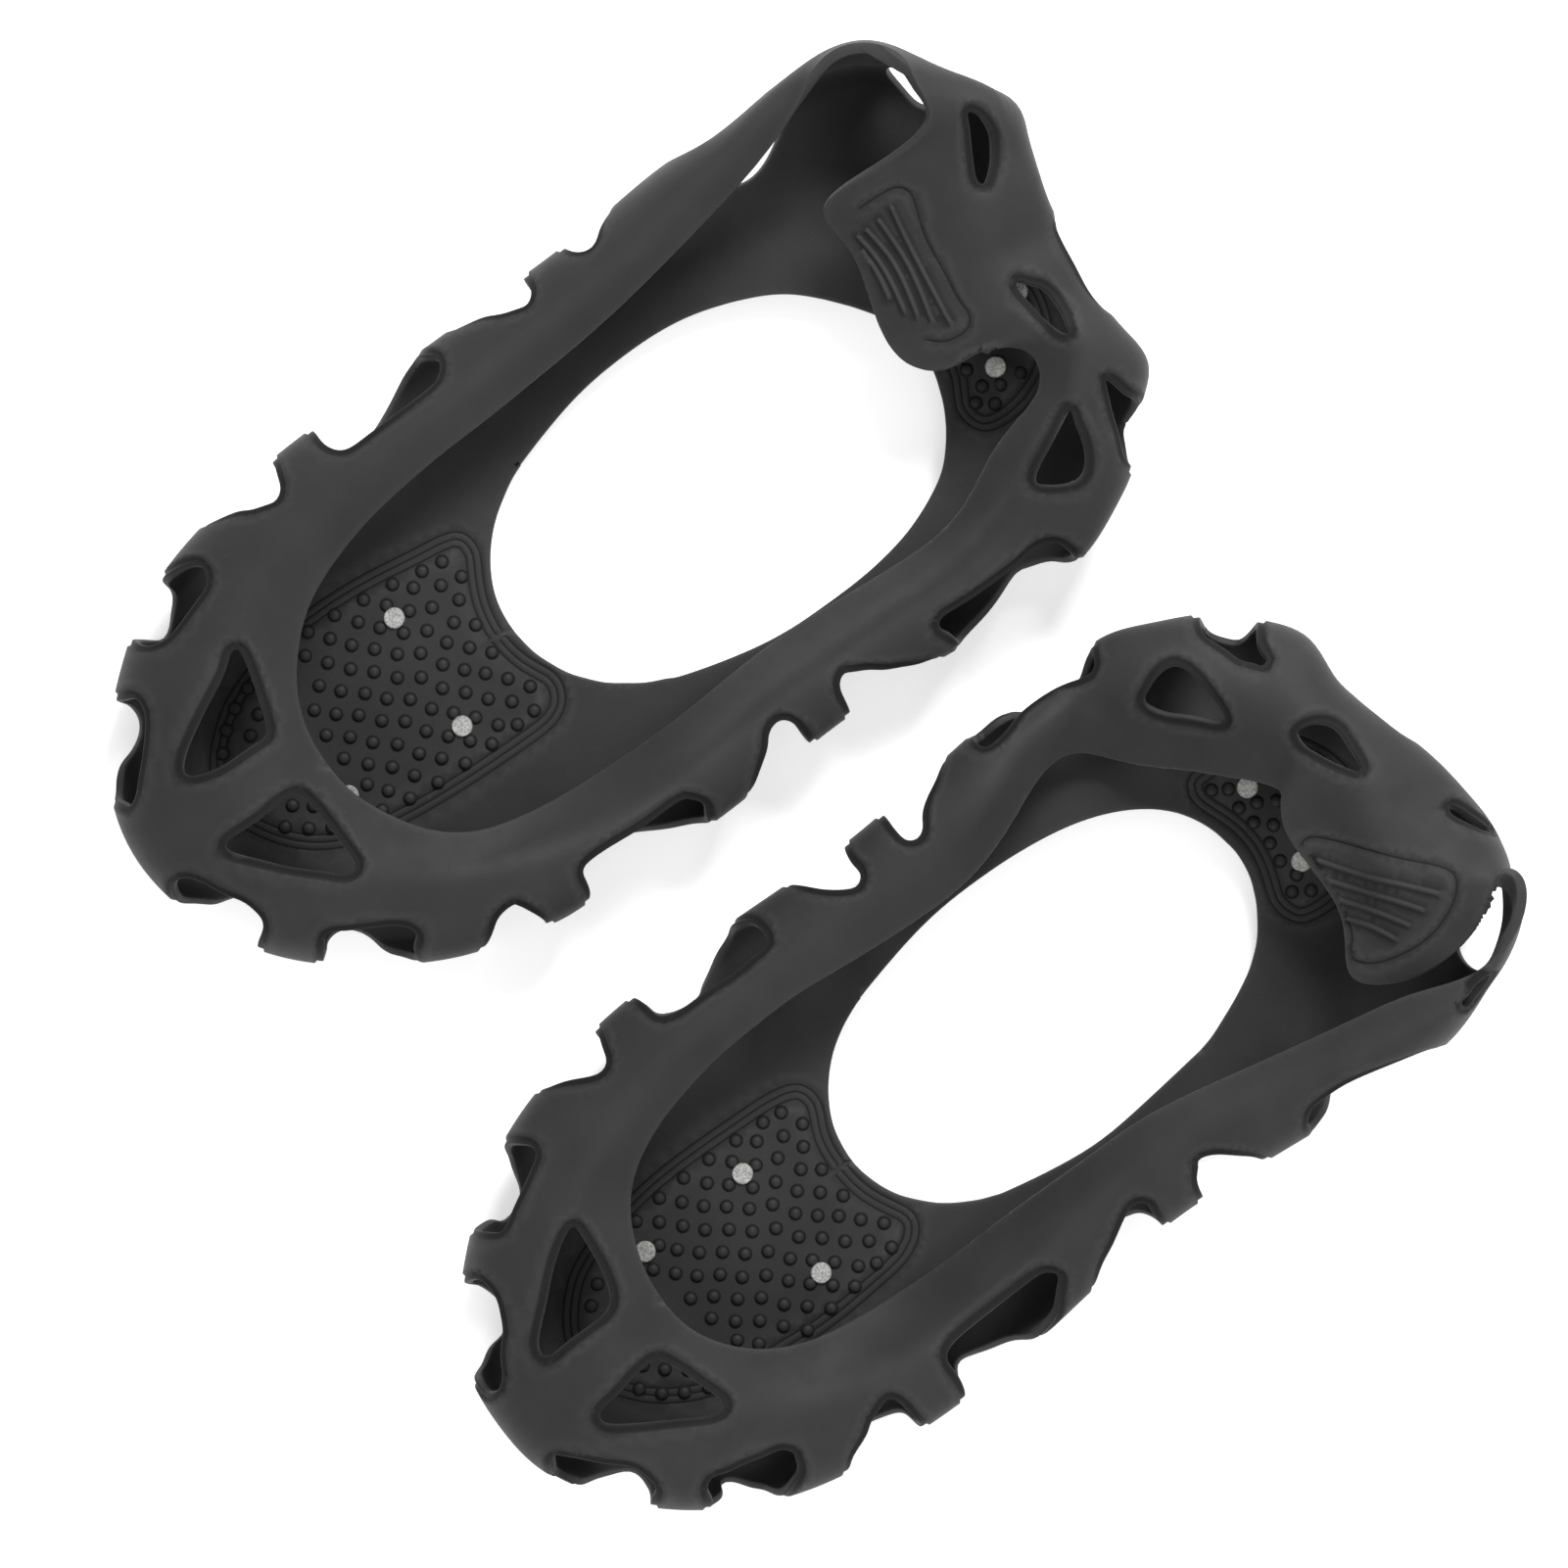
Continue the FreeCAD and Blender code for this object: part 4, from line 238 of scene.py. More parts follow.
LEFT = {
    "name": "left",
    "y_front": -10.5,
    "y_rear": 38.5,
    "fold_y": 110.2,
    "mid_x": 74,
    "flap": (20.9, 30.3),
    "fore_studs": points("86.6,-53.5 59.3,-54.5 89.9,-80.4 60.4,-81.4 75,-94.8"),
    "heel_studs": points("56.6,82.7 76.4,82.7 66.8,96.2"),
    "fore_pad": points("""
51.3,-33 48.8,-38.5 48.1,-47.5 47.8,-62.5 48.6,-75.5 51.5,-89.5 54.3,-96.5 58.8,-102 65.3,-106.5
72.8,-108 80.3,-105.5 86.8,-100.5 91.8,-93.5 94.8,-85.5 96.3,-72.5 97.3,-59.5 96.6,-45.5
95.3,-36.5 92.3,-31.5 88.3,-29.8 82.8,-32 76.8,-34.5 69.8,-35.3 62.8,-34.3 56.8,-31.8"""),
    "heel_pad": points("""
47.1,77 47.6,73.5 50.8,71.6 54.8,72.1 60.8,74.3 67.3,75.2 73.8,74 78.8,72.3 82.8,72.3 86.8,74.5
88.3,78.5 88.3,84.5 85.8,92 79.8,99 71.8,102.5 64.8,102.8 56.8,100.3 50.8,94.5 47.8,86.5"""),
    "stations": station_table("""
70.8,-33.8 72.8,-128.5,16 71.3,-109.5,31 69.8,-83.5,28.5 9.5
63.8,-32.9 58.8,-127,16 61.3,-108.5,31.5 60.8,-82.3,28.5 9.5
58.3,-30.5 47.3,-121,16 53.3,-104.5,31.5 52.3,-78.8,28.5 9.5
53.8,-27.3 36.8,-111,16.5 45.3,-98,31.3 45.8,-73.5,28.5 9.5
50.1,-23.5 27.8,-99.5,17 38.8,-90.5,31 41.6,-67,28.5 9.5
47.8,-20.2 21.6,-87.5,17.5 34.3,-81.5,30.5 38.8,-60,28.5 9.5
46.3,-17.5 17.8,-74.5,18 30.3,-71.5,30 37,-53,28.5 9.5
45.1,-14.8 15.5,-62,18.3 26.8,-60,29.5 35.5,-45,28.5 9.5
44.3,-12.7 14.2,-45.5,18.5 24.8,-43.5,29.5 34.6,-33.5,28.5 9.5
43.9,-11.5 14,-28.5,18.5 24.3,-26.5,29.5 34.4,-21.5,28.5 9.5
43.5,-10.5 14.4,-10.5,18.5 24.1,-10.5,29.5 35.4,-10.5,28.3 9.5
39.4,7.5 14.7,7.5,18.5 24.3,7.5,29.5 36.7,7.5,28 9.5
38.3,22.5 13.6,22.5,18.5 23.3,22.5,29.5 36.2,22.5,27 9.5
39.2,38.5 12.2,38.5,18 21.6,38.5,28.8 31,38.5,23.5 9.5
41.1,48.5 11.7,47.5,18 19.6,47.5,27 27.4,47.5,19 10.5
44.3,57 12.6,57.5,18 19.3,56.5,25 27.4,56,16 11.5
47.8,62.7 12.4,67,18.5 19.3,64.5,24 32.3,61.8,14 12.5
51.3,66.5 11.8,76,19 20.8,72.5,27 38.8,67.3,17 13
54.8,69 15.8,87,20 26.3,81.5,31 45.3,74.2,21 13
57.8,70.5 21.3,97.5,21 32.8,88.5,33 51.3,80,24.5 13
60.8,71.5 29.3,106,22 39.8,95,34 57.1,85.3,27.5 13
63.3,72 37.8,111.4,22 46.8,99.5,34.5 61.8,87.3,29.5 12.5
65.8,72.4 47.3,111,23 53.8,101,35 65.8,84.1,30 12
68.3,72.4 56.8,113,23 62.8,102,35.5 72.8,82.5,29.5 12
70.8,72.1 65.3,115.5,23.5 71.8,101.5,36.5 81.8,82.8,28 12
73.3,71.5 72.8,117.5,24 79.8,100.5,37 90.8,81.7,27 12
75.8,70.5 79.8,118.7,24 86.8,100.5,37.5 97.8,77.8,27 12
78.1,69.4 86.3,119.3,24 91.8,102.5,38 102.8,76.3,28 12.5
80.3,68 92.3,119.5,24 95.8,105,38.5 108.1,83,30 13
82.6,66.4 97.3,118.8,23.5 98.8,108.5,39 110.1,92.5,33 13
84.8,64.5 101.8,117.5,23 101.8,112,39 107.3,104.5,37 13
86.8,62.2 106.8,114.5,22 106.3,114,37 101.6,113,41 13
88.6,59.8 111.6,110.7,21.5 110.6,112,36 103.8,116.1,43 13
90.3,56.8 115.6,106.3,21 114.6,107.5,35 109.6,113,43.5 13
92,53.3 119.3,100.5,21 117.8,101.5,35 113.8,105.5,42 13
93.8,49 122.8,93,20.5 119.3,93.5,36.5 115.7,97,39 13
95.1,45.7 125.3,83.5,20 119.1,83.5,36 112,84.5,36.5 13
95.8,43.5 125.1,72.5,19.5 117.6,72.5,34 109.5,73.5,33.5 12.5
96.3,41.3 124.5,55.5,19 115.1,55.5,31.5 106.3,56.5,30.5 11
96.7,38.5 123.3,38.5,18.5 112.6,38.5,30 102.6,38.5,28.5 9.5
98.6,22.5 122,22.5,18.5 111.3,22.5,29.5 99.9,22.5,27.5 9.5
99.1,7.5 122,7.5,18.3 111.1,7.5,28 99.8,7.5,24 9.5
96.2,-10.5 123.8,-10.5,18 112.3,-10.5,26.5 100.2,-10.5,17 9.5
95.5,-13 125.4,-25.5,18 113.8,-24.5,26 100.6,-21.5,13.5 9.5
94.5,-15.7 126,-40,18 114.3,-38.5,26 100.7,-32.5,13 9.5
93.2,-18.4 125.8,-53.5,18 114.1,-50.5,26.8 100,-42.5,14.5 9.5
91.4,-21.5 124.6,-67.5,18 112.3,-63,28 98.8,-52,18 9.5
89,-24.7 122.3,-81,17.5 108.8,-74.5,29.3 97,-60.5,22 9.5
86.1,-27.5 117.3,-94.5,17.5 104.3,-85.5,30.5 94.1,-68,25.5 9.5
82.8,-30.1 108.8,-108,17 97.8,-95.5,31.2 89.3,-75,27.7 9.5
78.8,-32.1 98.3,-118.5,16.5 90.3,-103,31.5 83.3,-80,28.5 9.5
74.8,-33.3 85.3,-126.5,16 81.3,-107.5,31.3 76.8,-82.8,28.5 9.5"""),
    "openings": {
        "arch": """
107.7,.703 102.2,.707 97.6,.702 93,.699 89.3,.694 86.5,.676 85.6,.634 84.7,.548 81.9,.386
79.2,.323 81,.3 85.6,.3 88.4,.316 94.8,.359 101.3,.412 105.9,.457 108.6,.548 110.5,.591
111.4,.632 111.4,.674 110.5,.697""",
        "mid_1": """
135.3,.504 134.4,.641 134.4,.693 132.6,.716 130.7,.709 127,.671 124.3,.628 121.5,.548
121.5,.425 124.3,.381 128.9,.347 132.6,.337 135.3,.374 135.3,.422""",
        "mid_2": """
146.4,.504 146.4,.659 147.3,.706 149.1,.72 151,.707 152.8,.671 156.5,.63 160.2,.595 163.9,.504
163.9,.428 161.1,.367 154.7,.33 149.1,.331 146.4,.379 146.4,.421""",
        "heel_1": """
172.2,.611 173.1,.645 175.8,.656 179.5,.65 183.2,.623 188.7,.601 193.3,.617 198.8,.663
201.6,.666 202.5,.637 202.5,.51 200.7,.47 197.9,.434 193.3,.417 187.8,.422 184.1,.456
181.4,.494 176.8,.497 174,.493 172.2,.548""",
        "heel_3": """
236.6,.676 237.5,.677 238.4,.666 236.6,.641 235.7,.504 233.8,.426 232,.421 229.2,.427
227.4,.441 225.6,.504 225.6,.616 227.4,.64 231.1,.662 233.8,.675""",
        "heel_4": """
219.1,.701 221.9,.712 224.6,.737 227.4,.778 229.2,.82 228.3,.843 225.6,.848 220,.845 215.4,.843
212.7,.832 210.8,.809 212.7,.768 215.4,.729""",
        "back_2": """
248.6,.769 251.3,.733 255,.7 257.8,.696 260.5,.705 264.2,.711 265.1,.719 262.4,.742 258.7,.765
254.1,.786 249.5,.801 247.7,.792""",
        "back_1": """
288.1,.624 289.1,.613 291.8,.603 295.5,.591 299.2,.577 298.3,.593 294.6,.615 290.9,.627
289.1,.63""",
        "rear": """
257.1,.5 259.7,.535 265.9,.545 272,.535 274.5,.49 272,.44 265.9,.42 259.7,.43""",
        "heel_2": """
318,.5 319.2,.575 322.8,.6 328.1,.6 333.7,.585 336.7,.5 334.5,.42 328.8,.38 322.8,.38
319.2,.41""",
        "side_7": """
342.5,.844 342.5,.771 345.2,.716 347.1,.688 348.9,.719 348.9,.76 347.1,.787 345.2,.845""",
        "side_1": """
385.7,.665 388.5,.656 390.3,.632 391.3,.599 389.4,.51 385.7,.467 380.2,.415 372.9,.366
360.9,.318 353.5,.331 354.4,.393 358.1,.561 360.9,.618 366.4,.643 372.9,.662 380.2,.673""",
        "side_2": """
418.9,.504 418,.644 416.1,.68 415.2,.696 412.4,.687 409.7,.662 406.9,.629 405.1,.599 403.2,.504
402.3,.422 405.1,.369 410.6,.335 415.2,.332 418,.364 418.9,.42""",
        "side_3": """
429.9,.504 429.9,.647 429.9,.678 431.8,.695 434.5,.687 438.2,.661 441.9,.635 446.5,.601
450.2,.504 448.3,.419 443.7,.383 439.1,.369 435.4,.384 432.7,.397 430.9,.426""",
        "side_4": """
457.6,.718 463.1,.729 469.5,.734 476,.733 480.6,.724 482.4,.703 482.4,.658 483.3,.542
485.2,.387 485.2,.353 482.4,.36 476,.395 469.5,.44 464,.542 461.2,.574 458.5,.615 456.6,.648
454.8,.677 455.7,.703""",
        "side_5": """
493.4,.548 494.4,.635 495.3,.677 497.1,.699 499,.691 501.7,.671 503.6,.646 507.3,.608
509.1,.548 511.9,.372 509.1,.343 505.4,.347 501.7,.359 498.1,.389""",
        "toe_1": """
518.3,.666 520.1,.683 523.8,.68 528.4,.671 532.1,.658 534,.652 534.9,.626 534,.586 534,.51
533,.443 534,.382 532.1,.384 528.4,.421 525.7,.451 522,.542 520.1,.598 518.3,.633 518.3,.654""",
        "toe_2": """
561.6,.613 559.7,.629 557,.64 553.3,.65 549.6,.658 546.9,.65 544.1,.624 544.1,.586 544.1,.523
545.9,.42 548.7,.374 550.5,.37 552.4,.397 554.2,.46 556.1,.523 557.9,.523 559.7,.556
560.7,.589""",
        "toe_3": """
25.8,.504 26.7,.598 25.8,.629 23,.653 19.3,.662 15.7,.662 12,.649 8.3,.638 6.4,.618 6.4,.587
7.4,.56 9.2,.542 11.1,.431 12.9,.371 13.8,.34 16.6,.337 19.3,.342 23,.382 24.9,.448""",
        "toe_4": """
51.5,.628 51.5,.653 48.8,.663 43.3,.663 38.7,.657 35.9,.65 35,.622 35,.504 35,.396 34.1,.354
35.9,.338 38.7,.342 43.3,.384 47,.453 49.7,.548 50.6,.598""",
        "side_6": """
74.6,.548 73.7,.627 72.7,.663 70.9,.668 68.1,.649 65.4,.621 62.6,.588 60.8,.548 58,.394
56.2,.332 58,.3 62.6,.3 69,.354""",
        "toe_top_1": """
32.2,.82 29.5,.847 21.2,.889 13.8,.91 8.3,.905 6.4,.881 6.4,.816 6.4,.756 6.4,.722 8.3,.714
11.1,.72 17.5,.748 24.9,.772 30.4,.797""",
        "toe_top_2": """
559.7,.896 557,.906 550.5,.9 541.3,.866 536.7,.834 535.8,.809 537.6,.793 543.2,.778 549.6,.754
556.1,.722 558.8,.712 560.7,.721 560.7,.759 560.7,.823""",
    },
    "nubs": points("""
53.6,-40 62.4,-40.5 68.7,-40.2 76,-39.8 82.4,-39.8 87.2,-41.1 58,-42.6 66,-43.8 72.5,-43.4
79,-43.2 92,-42.6 53,-44.4 61.1,-46.4 69.3,-47.2 76.2,-46.8 84.2,-45.3 90.2,-46.2 55.5,-47.9
65,-49.8 73,-50.4 80.7,-48.9 86.5,-49.8 93.3,-49.4 52.7,-51.4 59.5,-51.1 68.5,-53.2 77.5,-52.8
83.3,-53.4 90.3,-53.1 55.9,-54.8 63,-54.5 73.1,-55.7 80.2,-57.1 87.1,-56.8 94.1,-56.3 52.5,-58.5
59.5,-58.3 66.3,-57.8 70.6,-60.2 76.1,-60 83.8,-60.2 90.7,-60.2 56.4,-61.9 63,-61.5 52.5,-65.3
60,-65.4 67.3,-64 73.6,-64.3 80,-63.4 87.4,-64 94.9,-63.2 56.5,-68.7 64.3,-68.2 70.4,-68
77.3,-67.8 83.3,-67.1 91.1,-66.9 52.9,-72.1 60.8,-71.6 67.5,-72.1 74,-71.3 80.5,-71.4 87.1,-70.3
91,-73.4 57.1,-75.2 64.2,-75.6 71.3,-75.5 77,-75.2 84.1,-74.6 87.6,-76.7 54,-79.1 61.1,-78.2
68.1,-78.9 74.4,-79.5 80.5,-78.4 64.6,-82.3 60,-93.9 63,-97.8 92.2,-87.7 86.5,-89.1 83.5,-93.1
90,-92.6 80,-96.4 87.3,-96.7 83.6,-100 58.3,-37.7 86,-36.2 91.2,-38 52.5,76.1 54.5,79.2
59.1,78.6 63.5,79.3 62.7,85.9 60.5,82.4 66.5,82.4 69.2,79.5 73.6,79 78.1,80.1 80.5,77.1
82.7,80.6"""),
    "grip": points("""
72.3,84 72,86 73.3,88 79.8,93.5 86.8,98.5 92.8,103.7 96.3,105.5 98.8,104.7 101.8,100.5
103.8,94.5 103.8,88.5 102.3,82.5 100.3,79.5 98.3,78.8 95.8,81 91.8,82.8 84.8,83.5 76.8,84"""),
    "grip_closed": True,
    "ribs": [
        points("76.8,84.8 85.8,91.3 97.6,100.8"),
        points("80.8,83.5 88.8,89.5 98.6,96.5"),
        points("86.3,83.5 91.8,87.5 99.3,92.2"),
        points("91.3,82.8 94.8,85.5 100,88.2"),
    ],
}

# ------------------------------------------------------------------ dimensions, mm
# Where the nine rows of a section lie, from the window edge (0) to the rim (1).
ROWS = np.array((0.0, 0.17, 0.34, 0.43, 0.52, 0.61, 0.73, 0.865, 1.0))
WIDEST, CREST, RIM = 4, 6, 8    # three of those rows
SOLE_MID = 6.5                  # height of the middle of the sole strip
TRIM = 1.2                      # the widest row is drawn in by this much
SOLE_THICK, WALL_THICK = 3.0, 2.4
SPREAD = 100.0                  # window to rim on the flat map, which is mm round by this
STEP = 1.45   # grid spacing of the mesh
SEAM_GAP = 0.9                  # least distance from an opening to the seam of the map

# Distances of the extra mesh lines from the feature they follow.
OPENING_DEPTHS = (0.1, 0.32, 0.7, 1.45, 1.85)
RIM_DEPTHS = (0.1, 0.3, 0.65)
PAD_GROOVE_DEPTHS = (0.0, 1.6, 3.2)
GROOVE_SHIFTS = (-0.34, 0.0, 0.34)
RIB_SHIFTS = (-0.75, -0.4, 0.0, 0.4, 0.75)
SOLE_RANGE = (0.0, 0.42)        # shares of the section searched for sole features
FLAP_RANGE = (0.72, 0.975)      # and for features of the folded wall

# Surface relief.
MIN_EDGE = 0.12                 # least distance from an edge given to a vertex off it
EDGE_ROUND = 0.42               # width of the rounding at an edge
BORDER_ROUND = 0.3              # the same on the sunk border round an opening
BORDER_DROP = 0.62              # depth of the border
BORDER_START, BORDER_FADE, BORDER_END = 1.45, 0.4, 1.9
GROOVE_WIDTH, PAD_GROOVE, GRIP_GROOVE = 0.24, 0.42, 0.4
RIB_WIDTH, RIB_HEIGHT = 0.42, 0.65

# Nubs: radius, height from the sole's upper face, and painted shade of each turned ring, darkest at the foot
# where a shadow would fall.
NUB_RADIUS = 2.3 / 2
NUB_FOOT = NUB_RADIUS + 0.42
NUB_SEGMENTS = 16
NUB_RINGS = (
    (0, -0.6, 0), (NUB_FOOT, -0.5, 0), (NUB_FOOT, 0.03, 0.75), (NUB_RADIUS, 0.05, 1.0),
    (NUB_RADIUS, 0.3, 0.5), (NUB_RADIUS * 0.86, 0.58, 0.15), (NUB_RADIUS * 0.5, 0.78, 0),
    (0, 0.85, 0))
SPARE_NUB_Z = 8.0               # height of a nub that lies off the sole strip
# Rubber cup round each stud: radius, z.
CUP_PROFILE = ((0, 5.3), (2.85, 5.2), (2.9, 3.1), (3.2, 2.62), (5.4, 2.75), (5.9, 3.4),
               (5.9, 5.55), (0, 5.6))
CUP_SEGMENTS = 28
PAD_BOTTOM, PAD_TOP, PAD_BEVEL = 3.62, 5.6, 0.5


# ------------------------------------------------------------------ curves
def smooth(x):
    x = np.clip(x, 0, 1)
    return x * x * (3 - 2 * x)


def unit(vectors, least=1e-9):
    return vectors / np.maximum(np.linalg.norm(vectors, axis=1), least)[:, None]


def running(lengths):
    return np.concatenate([[0.0], np.cumsum(lengths)])


def natural(knots):
    """Matrix giving natural-cubic second derivatives from the values."""
    count = len(knots)
    left, right = np.eye(count), np.zeros((count, count))
    for i in range(1, count - 1):
        before, after = knots[i] - knots[i - 1], knots[i + 1] - knots[i]
        left[i, i - 1:i + 2] = before, 2 * (before + after), after
        right[i, i - 1:i + 2] = 6 / before, -6 / before - 6 / after, 6 / after
    return np.linalg.solve(left, right)


def periodic(knots):
    """The same matrix for a closed cubic; the last knot is the first value again."""
    count = len(knots) - 1
    gap = np.diff(knots)
    left, right = np.zeros((count, count)), np.zeros((count, count))
    for i in range(count):
        last, after = (i - 1) % count, (i + 1) % count
        left[i, last] += gap[last]
        left[i, i] += 2 * (gap[last] + gap[i])
        left[i, after] += gap[i]
        right[i, last] += 6 / gap[last]
        right[i, i] += -6 / gap[last] - 6 / gap[i]
        right[i, after] += 6 / gap[i]
    return np.linalg.solve(left, right)


def segment(knots, at):
    return np.clip(np.searchsorted(knots, at, side="right") - 1, 0, len(knots) - 2)


def cubic(start, end, start_bend, end_bend, part, length):
    rest = 1 - part
    bend = (rest ** 3 - rest) * start_bend + (part ** 3 - part) * end_bend
    return rest * start + part * end + bend * length * length / 6


def spline(knots, values, bends, at):
    """Values of an open or closed cubic spline at many places."""
    i = segment(knots, at)
    j = (i + 1) % len(values)
    shape = (-1,) + (1,) * (values.ndim - 1)
    length = (knots[i + 1] - knots[i]).reshape(shape)
    part = (at - knots[i]).reshape(shape) / length
    return cubic(values[i], values[j], bends[i], bends[j], part, length)


def closed_curve(outline, step):
    """Smooth closed curve through the points, resampled every step."""
    def sides(loop):
        return np.linalg.norm(np.roll(loop, -1, 0) - loop, axis=1)

    knots = running(sides(outline) ** 0.5 + 1e-6)
    dense = np.linspace(0, knots[-1], max(40, len(outline) * 12), endpoint=False)
    curve = spline(knots, outline, periodic(knots) @ outline, dense)
    length = running(sides(curve))
    count = max(10, int(round(length[-1] / step)))
    even = np.linspace(0, length[-1], count, endpoint=False)
    curve = np.vstack([curve, curve[:1]])
    return np.stack([np.interp(even, length, curve[:, axis]) for axis in range(2)], axis=1)


def open_curve(line, step):
    knots = running(np.linalg.norm(np.diff(line, axis=0), axis=1))
    even = np.linspace(0, knots[-1], max(4, int(knots[-1] / step)))
    return spline(knots, line, natural(knots) @ line, even)


def anticlockwise(loop):
    x, y = loop[:, 0], loop[:, 1]
    return np.sum(x * np.roll(y, -1) - np.roll(x, -1) * y) > 0


def loop_tangents(loop):
    return unit(np.roll(loop, -1, 0) - np.roll(loop, 1, 0))


def left_normals(tangents):
    return np.stack([-tangents[:, 1], tangents[:, 0]], axis=1)


def offset_inward(loop, distance):
    normals = left_normals(loop_tangents(loop))
    return loop + normals * (1 if anticlockwise(loop) else -1) * distance


def inside(places, loop):
    """Which places lie inside the closed outline."""
    at_x, at_y = places[:, 0], places[:, 1]
    x, y = loop[:, 0], loop[:, 1]
    next_x, next_y = np.roll(x, -1), np.roll(y, -1)
    result = np.zeros(len(places), bool)
    for k in range(len(x)):
        if y[k] == next_y[k]:
            continue
        spans = (y[k] > at_y) != (next_y[k] > at_y)
        crossing = (next_x[k] - x[k]) * (at_y - y[k]) / (next_y[k] - y[k]) + x[k]
        result ^= spans & (at_x < crossing)
    return result


# ------------------------------------------------------------------ middle surface
def control_points(station):
    """The nine points of one section, from the window edge to the rim."""
    window, widest, crest, rim = np.split(station[:11], (2, 5, 8))
    reach = math.hypot(*(window - widest[:2]))
    widest = np.append(widest[:2] + (window - widest[:2]) * TRIM / reach, widest[2])
    reach = math.hypot(*(window - widest[:2]))
    inset = (station[11] - TRIM) / reach
    foot = np.append(widest[:2] + (window - widest[:2]) * inset, SOLE_MID + 0.2)
    window = np.append(window, SOLE_MID)
    low = foot + (widest - foot) * 0.72
    low[2] = SOLE_MID + 0.36 * (widest[2] - SOLE_MID)
    shoulder = widest + (crest - widest) * 0.20
    shoulder[2] = widest[2] + 0.58 * (crest[2] - widest[2])
    top = (crest + rim) / 2
    top[2] += 1.0
    return np.array([window, (window + foot) / 2, foot, low, widest, shoulder, crest, top, rim])


class Ring:
    """Closed surface: 'around' is mm round the ring, 'across' is 0 at the window, 1 at the rim."""
    row_bends = natural(ROWS)

    def __init__(self, stations):
        self.sections = np.array([control_points(station) for station in stations])
        gaps = np.linalg.norm(self.sections - np.roll(self.sections, -1, axis=0), axis=2)
        gaps = gaps[:, [WIDEST, CREST, RIM]].mean(axis=1)
        self.knots = running(np.maximum(2.0, gaps))
        self.length = self.knots[-1]
        self.bends = np.einsum("ij,jkc->ikc", periodic(self.knots), self.sections)

    def station_place(self, station):
        i = int(station)
        return self.knots[i] + (station - i) * (self.knots[i + 1] - self.knots[i])

    def point(self, around, across):
        across = np.clip(across, 0, 1)
        section = spline(self.knots, self.sections, self.bends, around % self.length)
        bends = np.einsum("ij,njc->nic", self.row_bends, section)
        row = segment(ROWS, across)
        i = np.arange(len(across))
        length = (ROWS[row + 1] - ROWS[row])[:, None]
        part = (across - ROWS[row])[:, None] / length
        return cubic(section[i, row], section[i, row + 1], bends[i, row], bends[i, row + 1],
                     part, length)

    def on_map(self, flats):
        """Points in space of places on the flat map."""
        return self.point(flats[:, 0], flats[:, 1] / SPREAD)

    def partials(self, around, across):
        """Derivatives in both directions, and the unit normal on the inner, upper face."""
        low, high = np.clip(across - 0.004, 0, 1), np.clip(across + 0.004, 0, 1)
        d_around = (self.point(around + 0.05, across) - self.point(around - 0.05, across)) / 0.1
        d_across = (self.point(around, high) - self.point(around, low)) / (high - low)[:, None]
        return d_around, d_across, unit(np.cross(d_around, d_across))


def thickness(across):
    return SOLE_THICK + (WALL_THICK - SOLE_THICK) * smooth((across - 0.30) / 0.14)


def flat(around, across):
    """Places on the flat map."""
    return np.stack([around, np.full_like(around, across) * SPREAD], axis=1)


def kd_tree(places):
    tree = kdtree.KDTree(len(places))
    for i, place in enumerate(places):
        tree.insert((*place, 0)[:3], i)
    tree.balance()
    return tree


def invert(ring, plan, around_range, across_range):
    """Ring coordinates of plan positions, and which of them were found."""
    start, end = around_range
    low, high = across_range
    around, across = np.meshgrid(np.linspace(start, end, max(20, int((end - start) / 1.5))),
                                 np.linspace(low, high, 50))
    around, across = around.ravel(), across.ravel()
    tree = kd_tree(ring.point(around, across)[:, :2])
    nearest = np.array([tree.find((x, y, 0))[1] for x, y in plan])
    around, across = around[nearest].copy(), across[nearest].copy()
    for _ in range(8):
        miss = plan - ring.point(around, across)[:, :2]
        d_around, d_across, _normal = ring.partials(around, across)
        det = d_around[:, 0] * d_across[:, 1] - d_around[:, 1] * d_across[:, 0]
        det = np.where(np.abs(det) < 1e-3, 1e-3, det)
        move_around = (miss[:, 0] * d_across[:, 1] - miss[:, 1] * d_across[:, 0]) / det
        move_across = (d_around[:, 0] * miss[:, 1] - d_around[:, 1] * miss[:, 0]) / det
        around += np.clip(move_around, -2, 2) * 0.9
        across = np.clip(across + np.clip(move_across, -0.03, 0.03) * 0.9, low, high)
    miss = np.linalg.norm(plan - ring.point(around, across)[:, :2], axis=1)
    return around, across, miss < 0.6


class Nearest:
    """Distance in space to a set of samples, which are looked up on the flat map."""

    def __init__(self, ring, flats):
        self.tree = kd_tree(flats)
        self.samples = ring.on_map(flats)

    def distance(self, flats, places, count=5):
        result = np.empty(len(flats))
        for i in range(len(flats)):
            best = 99.0
            for _place, j, _distance in self.tree.find_n((flats[i, 0], flats[i, 1], 0), count):
                gap = places[i] - self.samples[j]
                best = min(best, gap[0] * gap[0] + gap[1] * gap[1] + gap[2] * gap[2])
            result[i] = math.sqrt(best)
        return result


# ------------------------------------------------------------------ mesh lines
def arc_length(ring, across, samples, least):
    """Places round the ring at one share across, and the real length up to each."""
    around = np.linspace(0, ring.length, samples)
    places = ring.point(around, np.full(samples, across))
    gaps = np.linalg.norm(np.diff(places, axis=0), axis=1)
    return around, running(np.maximum(gaps, least))


def even_places(ring, across, step):
    around, length = arc_length(ring, across, 3000, 0.01)
    even = np.linspace(0, length[-1], int(length[-1] / step), endpoint=False)
    return np.interp(even, length, around)


